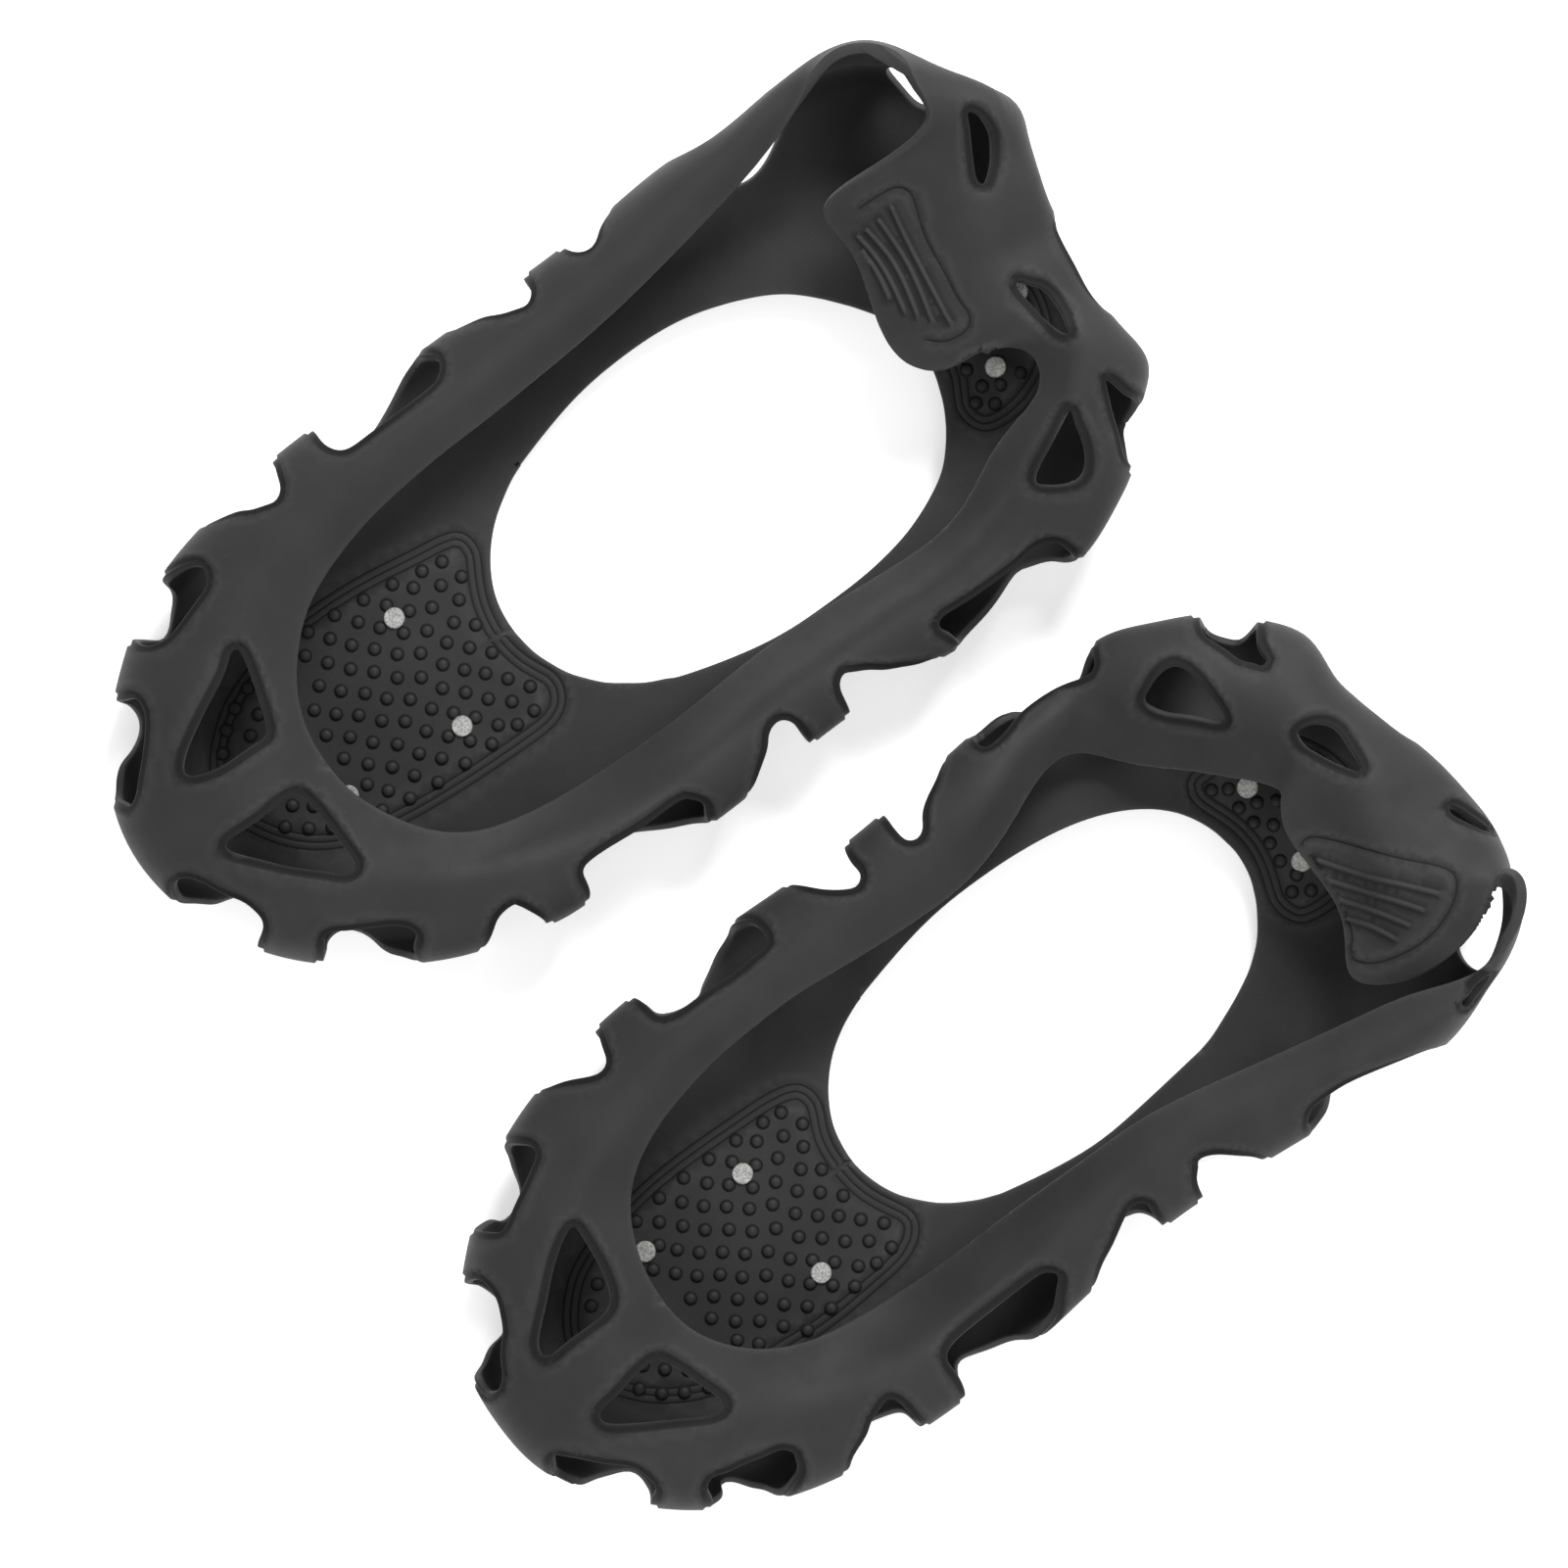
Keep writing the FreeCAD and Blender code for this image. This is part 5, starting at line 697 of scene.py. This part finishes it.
def offset_on_surface(ring, loop, distance):
    """Moves an opening's outline outwards along the surface."""
    d_around, d_across, normals = ring.partials(loop[:, 0], loop[:, 1] / SPREAD)
    sideways = np.cross(normals, loop_tangents(ring.on_map(loop)))
    a11 = (d_around * d_around).sum(1)
    a12 = (d_around * d_across).sum(1)
    a22 = (d_across * d_across).sum(1)
    b1, b2 = (d_around * sideways).sum(1), (d_across * sideways).sum(1)
    det = np.maximum(a11 * a22 - a12 * a12, 1e-9)
    move_around, move_across = (b1 * a22 - b2 * a12) / det, (b2 * a11 - b1 * a12) / det
    move = -distance if anticlockwise(loop) else distance
    return np.stack([loop[:, 0] + move_around * move,
                     loop[:, 1] + move_across * move * SPREAD], axis=1)


def opening_lines(ring, loops, holes):
    lines = []
    for loop in loops:
        for depth in OPENING_DEPTHS:
            line = offset_on_surface(ring, loop, depth)
            clear = holes.distance(line, ring.on_map(line)) > depth * 0.75
            lines.append(line[clear])
    return lines


def rim_lines(ring):
    """Lines beside and on the window edge and the rim."""
    around = {edge: even_places(ring, edge, 0.85) for edge in (0.0, 1.0)}
    lines = []
    for depth in RIM_DEPTHS:
        for edge, inward in ((0.0, 1), (1.0, -1)):
            places = around[edge]
            d_around, d_across, _normal = ring.partials(places, np.full(len(places), edge))
            tangents = unit(d_around)
            slant = (d_across * tangents).sum(1)
            square = np.linalg.norm(d_across - slant[:, None] * tangents, axis=1)
            across = depth / square
            shift = -inward * across * slant / np.linalg.norm(d_around, axis=1)
            lines.append(flat(places + shift, edge + inward * across))
    return lines + [flat(around[edge], edge) for edge in (0.0, 1.0)]


def pad_lines(ring, side):
    """Lines along the grooves over both pads; also the groove centres alone."""
    lines, centres = [], []
    for key in ("fore_pad", "heel_pad"):
        outline = closed_curve(side[key], 0.7)
        for depth in PAD_GROOVE_DEPTHS:
            for shift in GROOVE_SHIFTS:
                around, across, found = invert(ring, offset_inward(outline, depth + shift),
                                               (0, ring.length), SOLE_RANGE)
                line = flat(around % ring.length, across)[found]
                lines.append(line)
                if shift == 0.0:
                    centres.append(line)
    return lines, np.vstack(centres)


def flap_lines(ring, curves, closed, shifts):
    """Lines along curves on the folded wall; also their centres alone."""
    def trace(curve, around_range):
        line = closed_curve(curve, 0.5) if closed else open_curve(curve, 0.5)
        tangents = loop_tangents(line) if closed else unit(np.gradient(line, axis=0))
        normals = left_normals(tangents)
        for shift in shifts:
            around, across, found = invert(ring, line + normals * shift, around_range,
                                           FLAP_RANGE)
            traced = flat(around, across)[found]
            lines.append(traced)
            if shift == 0.0:
                centres.append(traced)

    lines, centres = [], []
    for curve, around_range in curves:
        trace(curve, around_range)
    return lines, np.vstack(centres)


def grid_rows(ring):
    rows = []
    for across in np.linspace(0, 1, int(SPREAD / STEP) + 1)[1:-1]:
        around, length = arc_length(ring, across, 400, 0.15)
        count = max(40, int(length[-1] / STEP))
        stagger = int(round(across * SPREAD / STEP)) % 2 * 0.5
        even = (np.arange(count) + stagger) * length[-1] / count
        places = np.interp(even, length, around)
        rows.append(flat(places[(places > 0.5) & (places < ring.length - 0.5)], across))
    return rows


def mesh_places(ring, loops, holes, lines):
    """Inner places of the mesh: the lines, then a grid thinned out beside them."""
    line_count = len(np.vstack(lines))
    flats = np.vstack(lines + grid_rows(ring))
    is_line = np.arange(len(flats)) < line_count
    flats[:, 0] = flats[:, 0] % ring.length
    keep = (flats[:, 0] > 0.5) & (flats[:, 0] < ring.length - 0.5)
    keep &= (flats[:, 1] >= 0) & (flats[:, 1] <= SPREAD)
    for loop in loops:
        keep &= ~inside(flats, loop)
    flats, is_line = flats[keep], is_line[keep]
    keep = holes.distance(flats, ring.on_map(flats), 3) > 0.07
    flats, is_line = flats[keep], is_line[keep]
    lines = flats[is_line]
    places = ring.on_map(flats)
    line_tree = kd_tree(places[is_line])
    kept, seen = [], set()
    for i, place in enumerate(places):
        if is_line[i]:
            # one line place to each 0.2 mm cell
            cell = (*(round(value / 0.2) for value in place), round(flats[i, 1] / 12))
            if cell in seen:
                continue
            seen.add(cell)
        elif any(abs(lines[j, 1] - flats[i, 1]) < 6
                 for _place, j, _distance in line_tree.find_range(place, 0.5)):
            continue
        kept.append(i)
    return flats[kept]


# ------------------------------------------------------------------ triangles
def flip_edges(flats, places, triangles):
    """Delaunay flips measured on the real surface, kept valid on the map; boundaries stay."""
    flats, places, faces = flats.tolist(), places.tolist(), triangles.tolist()

    def key(a, b):
        return (a, b) if a < b else (b, a)

    def angle(corner, a, b):
        x, y, z = places[corner]
        ax, ay, az = places[a][0] - x, places[a][1] - y, places[a][2] - z
        bx, by, bz = places[b][0] - x, places[b][1] - y, places[b][2] - z
        dot = ax * bx + ay * by + az * bz
        size = math.sqrt((ax * ax + ay * ay + az * az) * (bx * bx + by * by + bz * bz)) or 1e-12
        return math.acos(max(-1.0, min(1.0, dot / size)))

    def double_area(a, b, c):
        (ax, ay), (bx, by), (cx, cy) = flats[a], flats[b], flats[c]
        return (bx - ax) * (cy - ay) - (by - ay) * (cx - ax)

    owners = {}
    for i, face in enumerate(faces):
        for k in range(3):
            owners.setdefault(key(face[k], face[(k + 1) % 3]), set()).add(i)
    stack, left = list(owners), 12 * len(owners)
    while stack and left > 0:
        left -= 1
        edge = stack.pop()
        if len(owners[edge]) != 2:
            continue
        i, j = owners[edge]
        face = faces[i]
        k = [n for n in range(3) if face[n] not in edge][0]
        apex, a, b = face[k], face[(k + 1) % 3], face[(k + 2) % 3]
        other = [n for n in faces[j] if n not in edge][0]
        if angle(apex, a, b) + angle(other, a, b) <= math.pi + 0.02:
            continue
        if double_area(apex, a, other) < 1e-5 or double_area(apex, other, b) < 1e-5:
            continue
        new_edge = key(apex, other)
        if owners.get(new_edge):
            continue
        faces[i], faces[j] = [apex, a, other], [apex, other, b]
        owners[edge] = set()
        owners[new_edge] = {i, j}
        to_first, to_second = key(a, other), key(b, apex)
        owners[to_first].discard(j)
        owners[to_first].add(i)
        owners[to_second].discard(i)
        owners[to_second].add(j)
        stack += [to_first, to_second, key(apex, a), key(other, b)]
    return np.array(faces)


def compact(faces, count):
    """The vertices in use, and the faces renumbered to them."""
    used = np.unique(faces)
    new = np.full(count, -1)
    new[used] = np.arange(len(used))
    return used, new[faces]


def triangulate(ring, loops, inner):
    """Places and triangles of the closed ring, with the openings left out."""
    edges, base = [], 0
    for loop in loops:
        count = len(loop)
        edges += [(base + i, base + (i + 1) % count) for i in range(count)]
        base += count
    seam = np.arange(0, SPREAD + 0.01, SPREAD / 70)
    seam_pairs = [(end, height) for height in seam for end in (0.0, ring.length)]
    for k in range(len(seam) - 1):
        edges += [(base + 2 * k, base + 2 * k + 2), (base + 2 * k + 1, base + 2 * k + 3)]
    places = np.vstack([*loops, seam_pairs, inner]).tolist()
    result = delaunay_2d_cdt([Vector(place) for place in places], edges, [], 0, 1e-5)
    flats = np.array([tuple(place) for place in result[0]])
    faces = np.array([face for face in result[2] if len(face) == 3])
    centres = flats[faces].mean(axis=1)
    drop = np.zeros(len(faces), bool)
    for loop in loops:
        drop |= inside(centres, loop)
    faces = faces[~drop]
    side_1 = flats[faces[:, 1]] - flats[faces[:, 0]]
    side_2 = flats[faces[:, 2]] - flats[faces[:, 0]]
    areas = side_1[:, 0] * side_2[:, 1] - side_1[:, 1] * side_2[:, 0]
    solid = np.abs(areas) > 1e-7
    faces, areas = faces[solid], areas[solid]
    faces[areas < 0] = faces[areas < 0][:, ::-1]
    faces = flip_edges(flats, ring.on_map(flats), faces)
    # close the ring: the far side of the seam becomes the near side
    remap = np.arange(len(flats))
    near_side = {round(y, 4): i for i, (x, y) in enumerate(flats) if x < 1e-4}
    for i, (x, y) in enumerate(flats):
        if x > ring.length - 1e-4:
            remap[i] = near_side.get(round(y, 4), i)
    used, faces = compact(remap[faces], len(flats))
    return flats[used], faces


def boundary(faces, count):
    """Which vertices lie on an edge with only one triangle."""
    edges = np.sort(np.vstack([faces[:, [0, 1]], faces[:, [1, 2]], faces[:, [2, 0]]]), axis=1)
    edges, uses = np.unique(edges, axis=0, return_counts=True)
    result = np.zeros(count, bool)
    result[np.unique(edges[uses == 1])] = True
    return result


def shell(side):
    """Ring, vertices, triangles, flat places and painted shade (darker grooves, opening borders and rib
    sides) of the whole moulding.
    """
    ring = Ring(side["stations"])
    loops = []
    for outline in side["openings"].values():
        loop = closed_curve(points(outline) * (1, SPREAD), 0.9)
        loop[:, 0] = np.clip(loop[:, 0], SEAM_GAP, ring.length - SEAM_GAP)
        loops.append(loop)
    holes = Nearest(ring, np.vstack(loops))
    rims = Nearest(ring, np.vstack([flat(even_places(ring, edge, 0.3), edge)
                                    for edge in (0.0, 1.0)]))
    flap = tuple(ring.station_place(station) for station in side["flap"])
    groove_lines, grooves = pad_lines(ring, side)
    grip_lines, grip = flap_lines(ring, [(side["grip"], flap)], side["grip_closed"],
                                  GROOVE_SHIFTS)
    rib_lines, ribs = flap_lines(ring, [(rib, flap) for rib in side["ribs"]], False, RIB_SHIFTS)
    lines = opening_lines(ring, loops, holes) + rim_lines(ring)
    lines += groove_lines + grip_lines + rib_lines
    flats, faces = triangulate(ring, loops, mesh_places(ring, loops, holes, lines))

    across = flats[:, 1] / SPREAD
    middle = ring.on_map(flats)
    normals = ring.partials(flats[:, 0], across)[2]
    from_hole = holes.distance(flats, middle)
    from_rim = rims.distance(flats, middle, 9)
    from_groove, from_rib, from_grip = (Nearest(ring, centres).distance(flats, middle)
                                        for centres in (grooves, ribs, grip))
    on_edge = boundary(faces, len(flats))
    from_edge = np.maximum(np.minimum(from_hole, from_rim), MIN_EDGE)

    def rounded(height, width):
        near = np.maximum(1 - from_edge / width, 0)
        return height * np.sqrt(1 - near * near * 0.75)

    half = thickness(across) / 2
    full = rounded(half, EDGE_ROUND)
    border = rounded(half - BORDER_DROP, BORDER_ROUND)
    clear = smooth((from_hole - BORDER_START) / BORDER_FADE)
    wall = across > 0.6
    groove = np.exp(-(from_groove / GROOVE_WIDTH) ** 2) * (across < 0.45)
    grip_line = np.exp(-(from_grip / GROOVE_WIDTH) ** 2) * wall
    rib = np.exp(-(from_rib / RIB_WIDTH) ** 4) * wall
    rib_side = np.exp(-((from_rib - 0.75) / 0.3) ** 2) * wall
    inner = np.where(on_edge, 0, full - PAD_GROOVE * groove)
    outer = border * (1 - clear) + full * clear + RIB_HEIGHT * rib - GRIP_GROOVE * grip_line
    # painted shade: darker sunk borders round the openings, pad grooves, grip groove and the sides of the
    # ribs
    border_shade = 0.75 * (1 - clear) + 0.25 * clear * (1 - smooth((from_hole - 1.85) / 0.3))
    inner_shade = np.where(on_edge, 0, 0.9 * groove)
    outer_shade = np.clip(np.where(from_hole < BORDER_END, border_shade, 0.0)
                          + 0.8 * grip_line + 0.55 * rib_side, 0, 1)
    # both faces share the vertices on an edge
    count = len(flats)
    outer_id = np.where(on_edge, np.arange(count), count + np.arange(count))
    verts = np.vstack([middle + normals * inner[:, None], middle - normals * outer[:, None]])
    shade = np.concatenate([inner_shade, outer_shade])
    used, faces = compact(np.vstack([faces, outer_id[faces[:, ::-1]]]), len(verts))
    return ring, verts[used], faces, np.vstack([flats, flats])[used], shade[used]


# ------------------------------------------------------------------ small solids
def lathe(profile, x, y, segments):
    """Closed turned solid; profile is (radius, z) from one axis point to the other."""
    angles = np.arange(segments) * 2 * math.pi / segments
    verts, faces = [(x, y, profile[0][1])], []
    for radius, z in profile[1:-1]:
        verts += [(x + radius * math.cos(a), y + radius * math.sin(a), z) for a in angles]
    verts.append((x, y, profile[-1][1]))
    last, rings = len(verts) - 1, len(profile) - 2
    end = 1 + (rings - 1) * segments
    for k in range(segments):
        j = (k + 1) % segments
        faces += [(0, 1 + k, 1 + j), (last, end + j, end + k)]
        for i in range(rings - 1):
            low = 1 + i * segments
            high = low + segments
            faces += [(low + k, high + k, high + j), (low + k, high + j, low + j)]
    return np.array(verts), np.array(faces)


def slab(outline, bottom, top, bevel):
    """Closed slab on a plan outline, its lower edge bevelled."""
    outer = closed_curve(outline, 1.6)
    count = len(outer)
    levels = ((outer, top), (outer, bottom + bevel), (offset_inward(outer, bevel), bottom))
    verts = np.vstack([np.column_stack([loop, np.full(count, z)]) for loop, z in levels])
    faces = []
    for i in range(2):
        for k in range(count):
            a, b = i * count + k, i * count + (k + 1) % count
            c, d = b + count, a + count
            faces += [(a, c, b), (a, d, c)] if anticlockwise(outer) else [(a, b, c), (a, c, d)]
    for level in (0, 2):
        loop = [Vector(place) for place in levels[level][0].tolist()]
        edges = [(i, (i + 1) % count) for i in range(count)]
        result = delaunay_2d_cdt(loop, edges, [], 1, 1e-6)
        original = [sources[0] if sources else 0 for sources in result[3]]
        for face in result[2]:
            corners = tuple(level * count + original[i] for i in face)
            faces.append(corners if level == 0 else corners[::-1])
    return verts, np.array([face for face in faces if len(set(face)) == 3])


def small_parts(ring, side):
    """Vertices, triangles and painted shade of each nub, stud cup and pad; the nubs get a painted shadow
    ring round the foot.
    """
    nubs = side["nubs"]
    around, across, found = invert(ring, nubs, (0, ring.length), SOLE_RANGE)
    faces_z = ring.point(around, across)[:, 2] + thickness(across) / 2
    nub_shade = np.repeat([shade for _radius, _z, shade in NUB_RINGS],
                          [1] + [NUB_SEGMENTS] * (len(NUB_RINGS) - 2) + [1])
    for (x, y), face_z in zip(nubs, np.where(found, faces_z, SPARE_NUB_Z)):
        profile = [(radius, face_z + z) for radius, z, _shade in NUB_RINGS]
        yield *lathe(profile, x, y, NUB_SEGMENTS), nub_shade
    plain = [lathe(CUP_PROFILE, x, y, CUP_SEGMENTS)
             for key in ("fore_studs", "heel_studs") for x, y in side[key]]
    plain += [slab(side[key], PAD_BOTTOM, PAD_TOP, PAD_BEVEL) for key in ("fore_pad", "heel_pad")]
    for verts, faces in plain:
        yield verts, faces, np.zeros(len(verts))


# ------------------------------------------------------------------ materials
class Shader:
    """A material with its Principled BSDF; inputs take values or the sockets that feed them."""

    def __init__(self, name):
        self.material = bpy.data.materials.new(name)
        self.material.use_nodes = True
        self.tree = self.material.node_tree
        self.surface = self.tree.nodes["Principled BSDF"]

    def feed(self, node, inputs):
        for socket, value in inputs.items():
            if isinstance(value, bpy.types.NodeSocket):
                self.tree.links.new(value, node.inputs[socket])
            else:
                node.inputs[socket].default_value = value

    def add(self, kind, inputs, **settings):
        node = self.tree.nodes.new("ShaderNode" + kind)
        for name, value in settings.items():
            setattr(node, name, value)
        self.feed(node, inputs)
        return node

    def noise(self, vector, scale, detail=2, roughness=0.5):
        return self.add("TexNoise", {"Vector": vector, "Scale": scale, "Detail": detail,
                                     "Roughness": roughness}).outputs["Fac"]

    def ramp(self, source, low, high):
        """Colour ramp between two stops, each (position, colour)."""
        node = self.add("ValToRGB", {"Fac": source})
        for element, (position, color) in zip(node.color_ramp.elements, (low, high)):
            element.position = position
            element.color = (*color, 1)
        return node.outputs["Color"]

    def mix(self, factor, first, second):
        return self.add("Mix", {"Factor": factor, "A": first, "B": second},
                        data_type="RGBA").outputs["Result"]

    def scaled(self, source, factor):
        return self.add("Math", {0: source, 1: factor}, operation="MULTIPLY").outputs[0]

    def spread(self, source, start, end):
        """Maps 0..1 to start..end."""
        return self.add("MapRange", {"Value": source, "To Min": start, "To Max": end}).outputs[0]


def rubber():
    """Black rubber: worn edges, painted shade in grooves, opening borders and round the nub feet, specks of
    dust and a fine grain.
    """
    shader = Shader("rubber")
    pointiness = shader.add("NewGeometry", {}).outputs["Pointiness"]
    place = shader.add("TexCoord", {}).outputs["Object"]
    black, white = (0, 0, 0), (1, 1, 1)
    base = shader.ramp(shader.noise(place, scale=55, detail=4),
                       low=(0.3, (0.0125, 0.0125, 0.013)), high=(0.7, (0.0185, 0.0185, 0.019)))
    wear = shader.ramp(pointiness, low=(0.50, black), high=(0.60, white))
    dust = shader.ramp(shader.noise(place, scale=2600, roughness=0.7),
                       low=(0.70, black), high=(0.78, white))
    # painted shade: this attribute darkens the colour and lowers the specular in grooves, opening borders,
    # rib sides and round the nub feet
    painted_shade = shader.add("Attribute", {}, attribute_name="painted_shade").outputs["Fac"]
    painted_shade_factor = shader.scaled(painted_shade, factor=0.72)
    worn = shader.mix(wear, base, second=(0.040, 0.040, 0.041, 1))
    shaded = shader.mix(painted_shade_factor, worn, second=(0.0035, 0.0035, 0.0037, 1))
    dusty = shader.mix(shader.scaled(dust, factor=0.22), shaded, second=(0.16, 0.16, 0.155, 1))
    roughness = shader.spread(shader.noise(place, scale=140, detail=5), start=0.55, end=0.76)
    specular = shader.spread(painted_shade, start=0.25, end=0.05)
    fine = shader.add("Bump", {"Strength": 0.30, "Distance": 0.00012})
    grain = shader.add("Bump", {"Strength": 0.25, "Distance": 0.0004})
    shader.feed(fine, {"Height": shader.noise(place, scale=1900, detail=3, roughness=0.6),
                       "Normal": grain.outputs["Normal"]})
    shader.feed(grain, {"Height": shader.noise(place, scale=120, detail=3)})
    shader.feed(shader.surface, {
        "Base Color": dusty, "Roughness": roughness, "Specular IOR Level": specular,
        "Sheen Weight": 0.05, "Sheen Roughness": 0.5, "Normal": fine.outputs["Normal"]})
    return shader.material


def steel():
    """Speckled grey steel of the studs."""
    shader = Shader("stud_steel")
    place = shader.add("TexCoord", {}).outputs["Object"]
    speckle = shader.noise(place, scale=2400, detail=4)
    patches = shader.noise(place, scale=500)
    color = shader.ramp(speckle, low=(0.35, (0.26, 0.26, 0.255)), high=(0.62, (0.56, 0.56, 0.545)))
    bump = shader.add("Bump", {"Strength": 0.35, "Distance": 0.0001, "Height": speckle})
    shader.feed(shader.surface, {
        "Base Color": color, "Metallic": 0.85,
        "Roughness": shader.spread(patches, start=0.32, end=0.52),
        "Normal": bump.outputs["Normal"]})
    return shader.material


RUBBER, STEEL = rubber(), steel()


# ------------------------------------------------------------------ the overshoes
def vertex_normals(verts, faces):
    normals = np.zeros_like(verts)
    a, b, c = (verts[faces[:, k]] for k in range(3))
    face_normals = np.cross(b - a, c - a)
    for k in range(3):
        np.add.at(normals, faces[:, k], face_normals)
    return unit(normals, 1e-12)


def make(name, verts, faces, normals, shade):
    mesh = bpy.data.meshes.new(name)
    mesh.from_pydata((verts * 0.001).tolist(), [], faces.tolist())
    mesh.validate()
    mesh.update()
    for polygon in mesh.polygons:
        polygon.use_smooth = True
    mesh.normals_split_custom_set_from_vertices(normals.tolist())
    piece = bpy.data.objects.new(name, mesh)
    bpy.context.collection.objects.link(piece)
    mesh.materials.append(RUBBER)
    # per-vertex painted shade, read by the rubber material
    painted_shade = mesh.attributes.new("painted_shade", "FLOAT", "POINT")
    painted_shade.data.foreach_set("value", shade.astype(np.float32))
    return piece


def overshoe(side):
    """One overshoe, cut along Y into forefoot, arch and heel; the folded wall is in the heel."""
    ring, verts, faces, flats, shade = shell(side)
    # fold weight: 1 on the folded back wall, easing to 0 at its root
    around, across = flats[:, 0], flats[:, 1] / SPREAD
    start, end = (ring.station_place(station) for station in side["flap"])
    fold = (smooth((across - 0.60) / 0.10) * smooth((around - start + 2) / 8)
            * smooth((end - around + 2) / 8))
    all_verts, all_faces, all_folds, all_shades = [verts], [faces], [fold], [shade]
    base = len(verts)
    for verts, faces, shade in small_parts(ring, side):
        all_verts.append(verts)
        all_faces.append(faces + base)
        all_folds.append(np.zeros(len(verts)))
        all_shades.append(shade)
        base += len(verts)
    verts, faces = np.vstack(all_verts), np.vstack(all_faces)
    fold, shade = np.concatenate(all_folds), np.concatenate(all_shades)
    normals = vertex_normals(verts, faces)

    front, fold_y = side["y_front"], side["fold_y"]
    middle, rear = (front + side["y_rear"]) / 2, side["y_rear"] + 9
    face_y = verts[faces][:, :, 1].mean(axis=1)
    is_flap = fold[faces].max(axis=1) > 0
    section = np.where((face_y < middle) & ~is_flap, 0, np.where((face_y < rear) & ~is_flap, 1, 2))
    # label, body at the start and end of the blend, y of both ends, pieces replaced
    sections = (
        ("forefoot", "forefoot", "arch", front - 8, front + 8, ("forefoot",)),
        ("arch", "arch", "heel", middle + 2, rear - 2, ("outer_band", "inner_band")),
        ("heel", "heel", "back", fold_y - 3, fold_y + 3, ("heel_cup", "back_wall", "pull_tab")),
    )
    prefix, mid_x = side["name"] + "_", side["mid_x"] / 1000
    for k, (label, first, second, start_y, end_y, replaced) in enumerate(sections):
        used, own_faces = compact(faces[section == k], len(verts))
        piece = make(prefix + label + "_rubber", verts[used], own_faces, normals[used],
                     shade[used])
        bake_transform(piece, prefix + first + "_body", prefix + second + "_body",
                 start=(mid_x, start_y / 1000, 0.03), end=(mid_x, end_y / 1000, 0.03))
        if label == "heel":
            weights = fold[used]
        else:
            weights = smooth((verts[used, 1] - start_y) / (end_y - start_y))
        blend = piece.data.attributes.get("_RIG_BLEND")
        # guards against a blend that is kept without an attribute
        if blend is not None:
            blend.data.foreach_set("value", weights.astype(np.float32))
        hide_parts(*(prefix + name for name in replaced))


for side in (RIGHT, LEFT):
    overshoe(side)

for name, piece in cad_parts.items():
    if "stud" in name:
        piece.data.materials.clear()
        piece.data.materials.append(STEEL)

# ------------------------------------------------------------------ floor, light, camera; metres
FLOOR_HALF, FLOOR_Z = 3, -0.0002
CAMERA_HEIGHT = 1.7
VIEW_Z, VIEW_WIDTH = 0.02, 0.3362    # the picture is this wide at this height
SENSOR_WIDTH = 36                    # mm


def build_floor():
    mesh = bpy.data.meshes.new("floor")
    corners = [(x * FLOOR_HALF, y * FLOOR_HALF, FLOOR_Z)
               for x, y in ((-1, -1), (1, -1), (1, 1), (-1, 1))]
    mesh.from_pydata(corners, [], [(0, 1, 2, 3)])
    floor = bpy.data.objects.new("floor", mesh)
    bpy.context.collection.objects.link(floor)
    shader = Shader("floor")
    shader.feed(shader.surface, {
        "Base Color": (0.86, 0.86, 0.86, 1), "Roughness": 0.9, "Specular IOR Level": 0.1,
        "Emission Color": (1, 1, 1, 1), "Emission Strength": 0.45})
    mesh.materials.append(shader.material)


def build_world():
    world = bpy.data.worlds.new("studio")
    bpy.context.scene.world = world
    world.use_nodes = True
    background = world.node_tree.nodes["Background"]
    background.inputs["Color"].default_value = (1, 1, 1, 1)
    background.inputs["Strength"].default_value = 0.62


def area_light(name, location, size, power):
    """Square light aimed at the origin."""
    light = bpy.data.lights.new(name, "AREA")
    light.shape = "SQUARE"
    light.size = size
    light.energy = power
    lamp = bpy.data.objects.new(name, light)
    lamp.location = location
    lamp.rotation_euler = (-Vector(location)).to_track_quat("-Z", "Y").to_euler()
    bpy.context.collection.objects.link(lamp)


def build_camera():
    """Camera looking straight down, turned about Z."""
    lens = bpy.data.cameras.new("cam")
    lens.sensor_width = SENSOR_WIDTH
    lens.lens = SENSOR_WIDTH * (CAMERA_HEIGHT - VIEW_Z) / VIEW_WIDTH
    camera = bpy.data.objects.new("cam", lens)
    camera.location = (-0.0032, 0.0025, CAMERA_HEIGHT)
    camera.rotation_euler = (0, 0, math.atan2(0.806, 0.592))
    bpy.context.collection.objects.link(camera)
    bpy.context.scene.camera = camera
    bpy.context.scene.view_settings.view_transform = "Standard"


build_floor()
build_world()
area_light("key", location=(-0.55, 0.75, 0.9), size=0.45, power=20)
area_light("fill", location=(0.8, -0.5, 0.8), size=0.8, power=7)
build_camera()
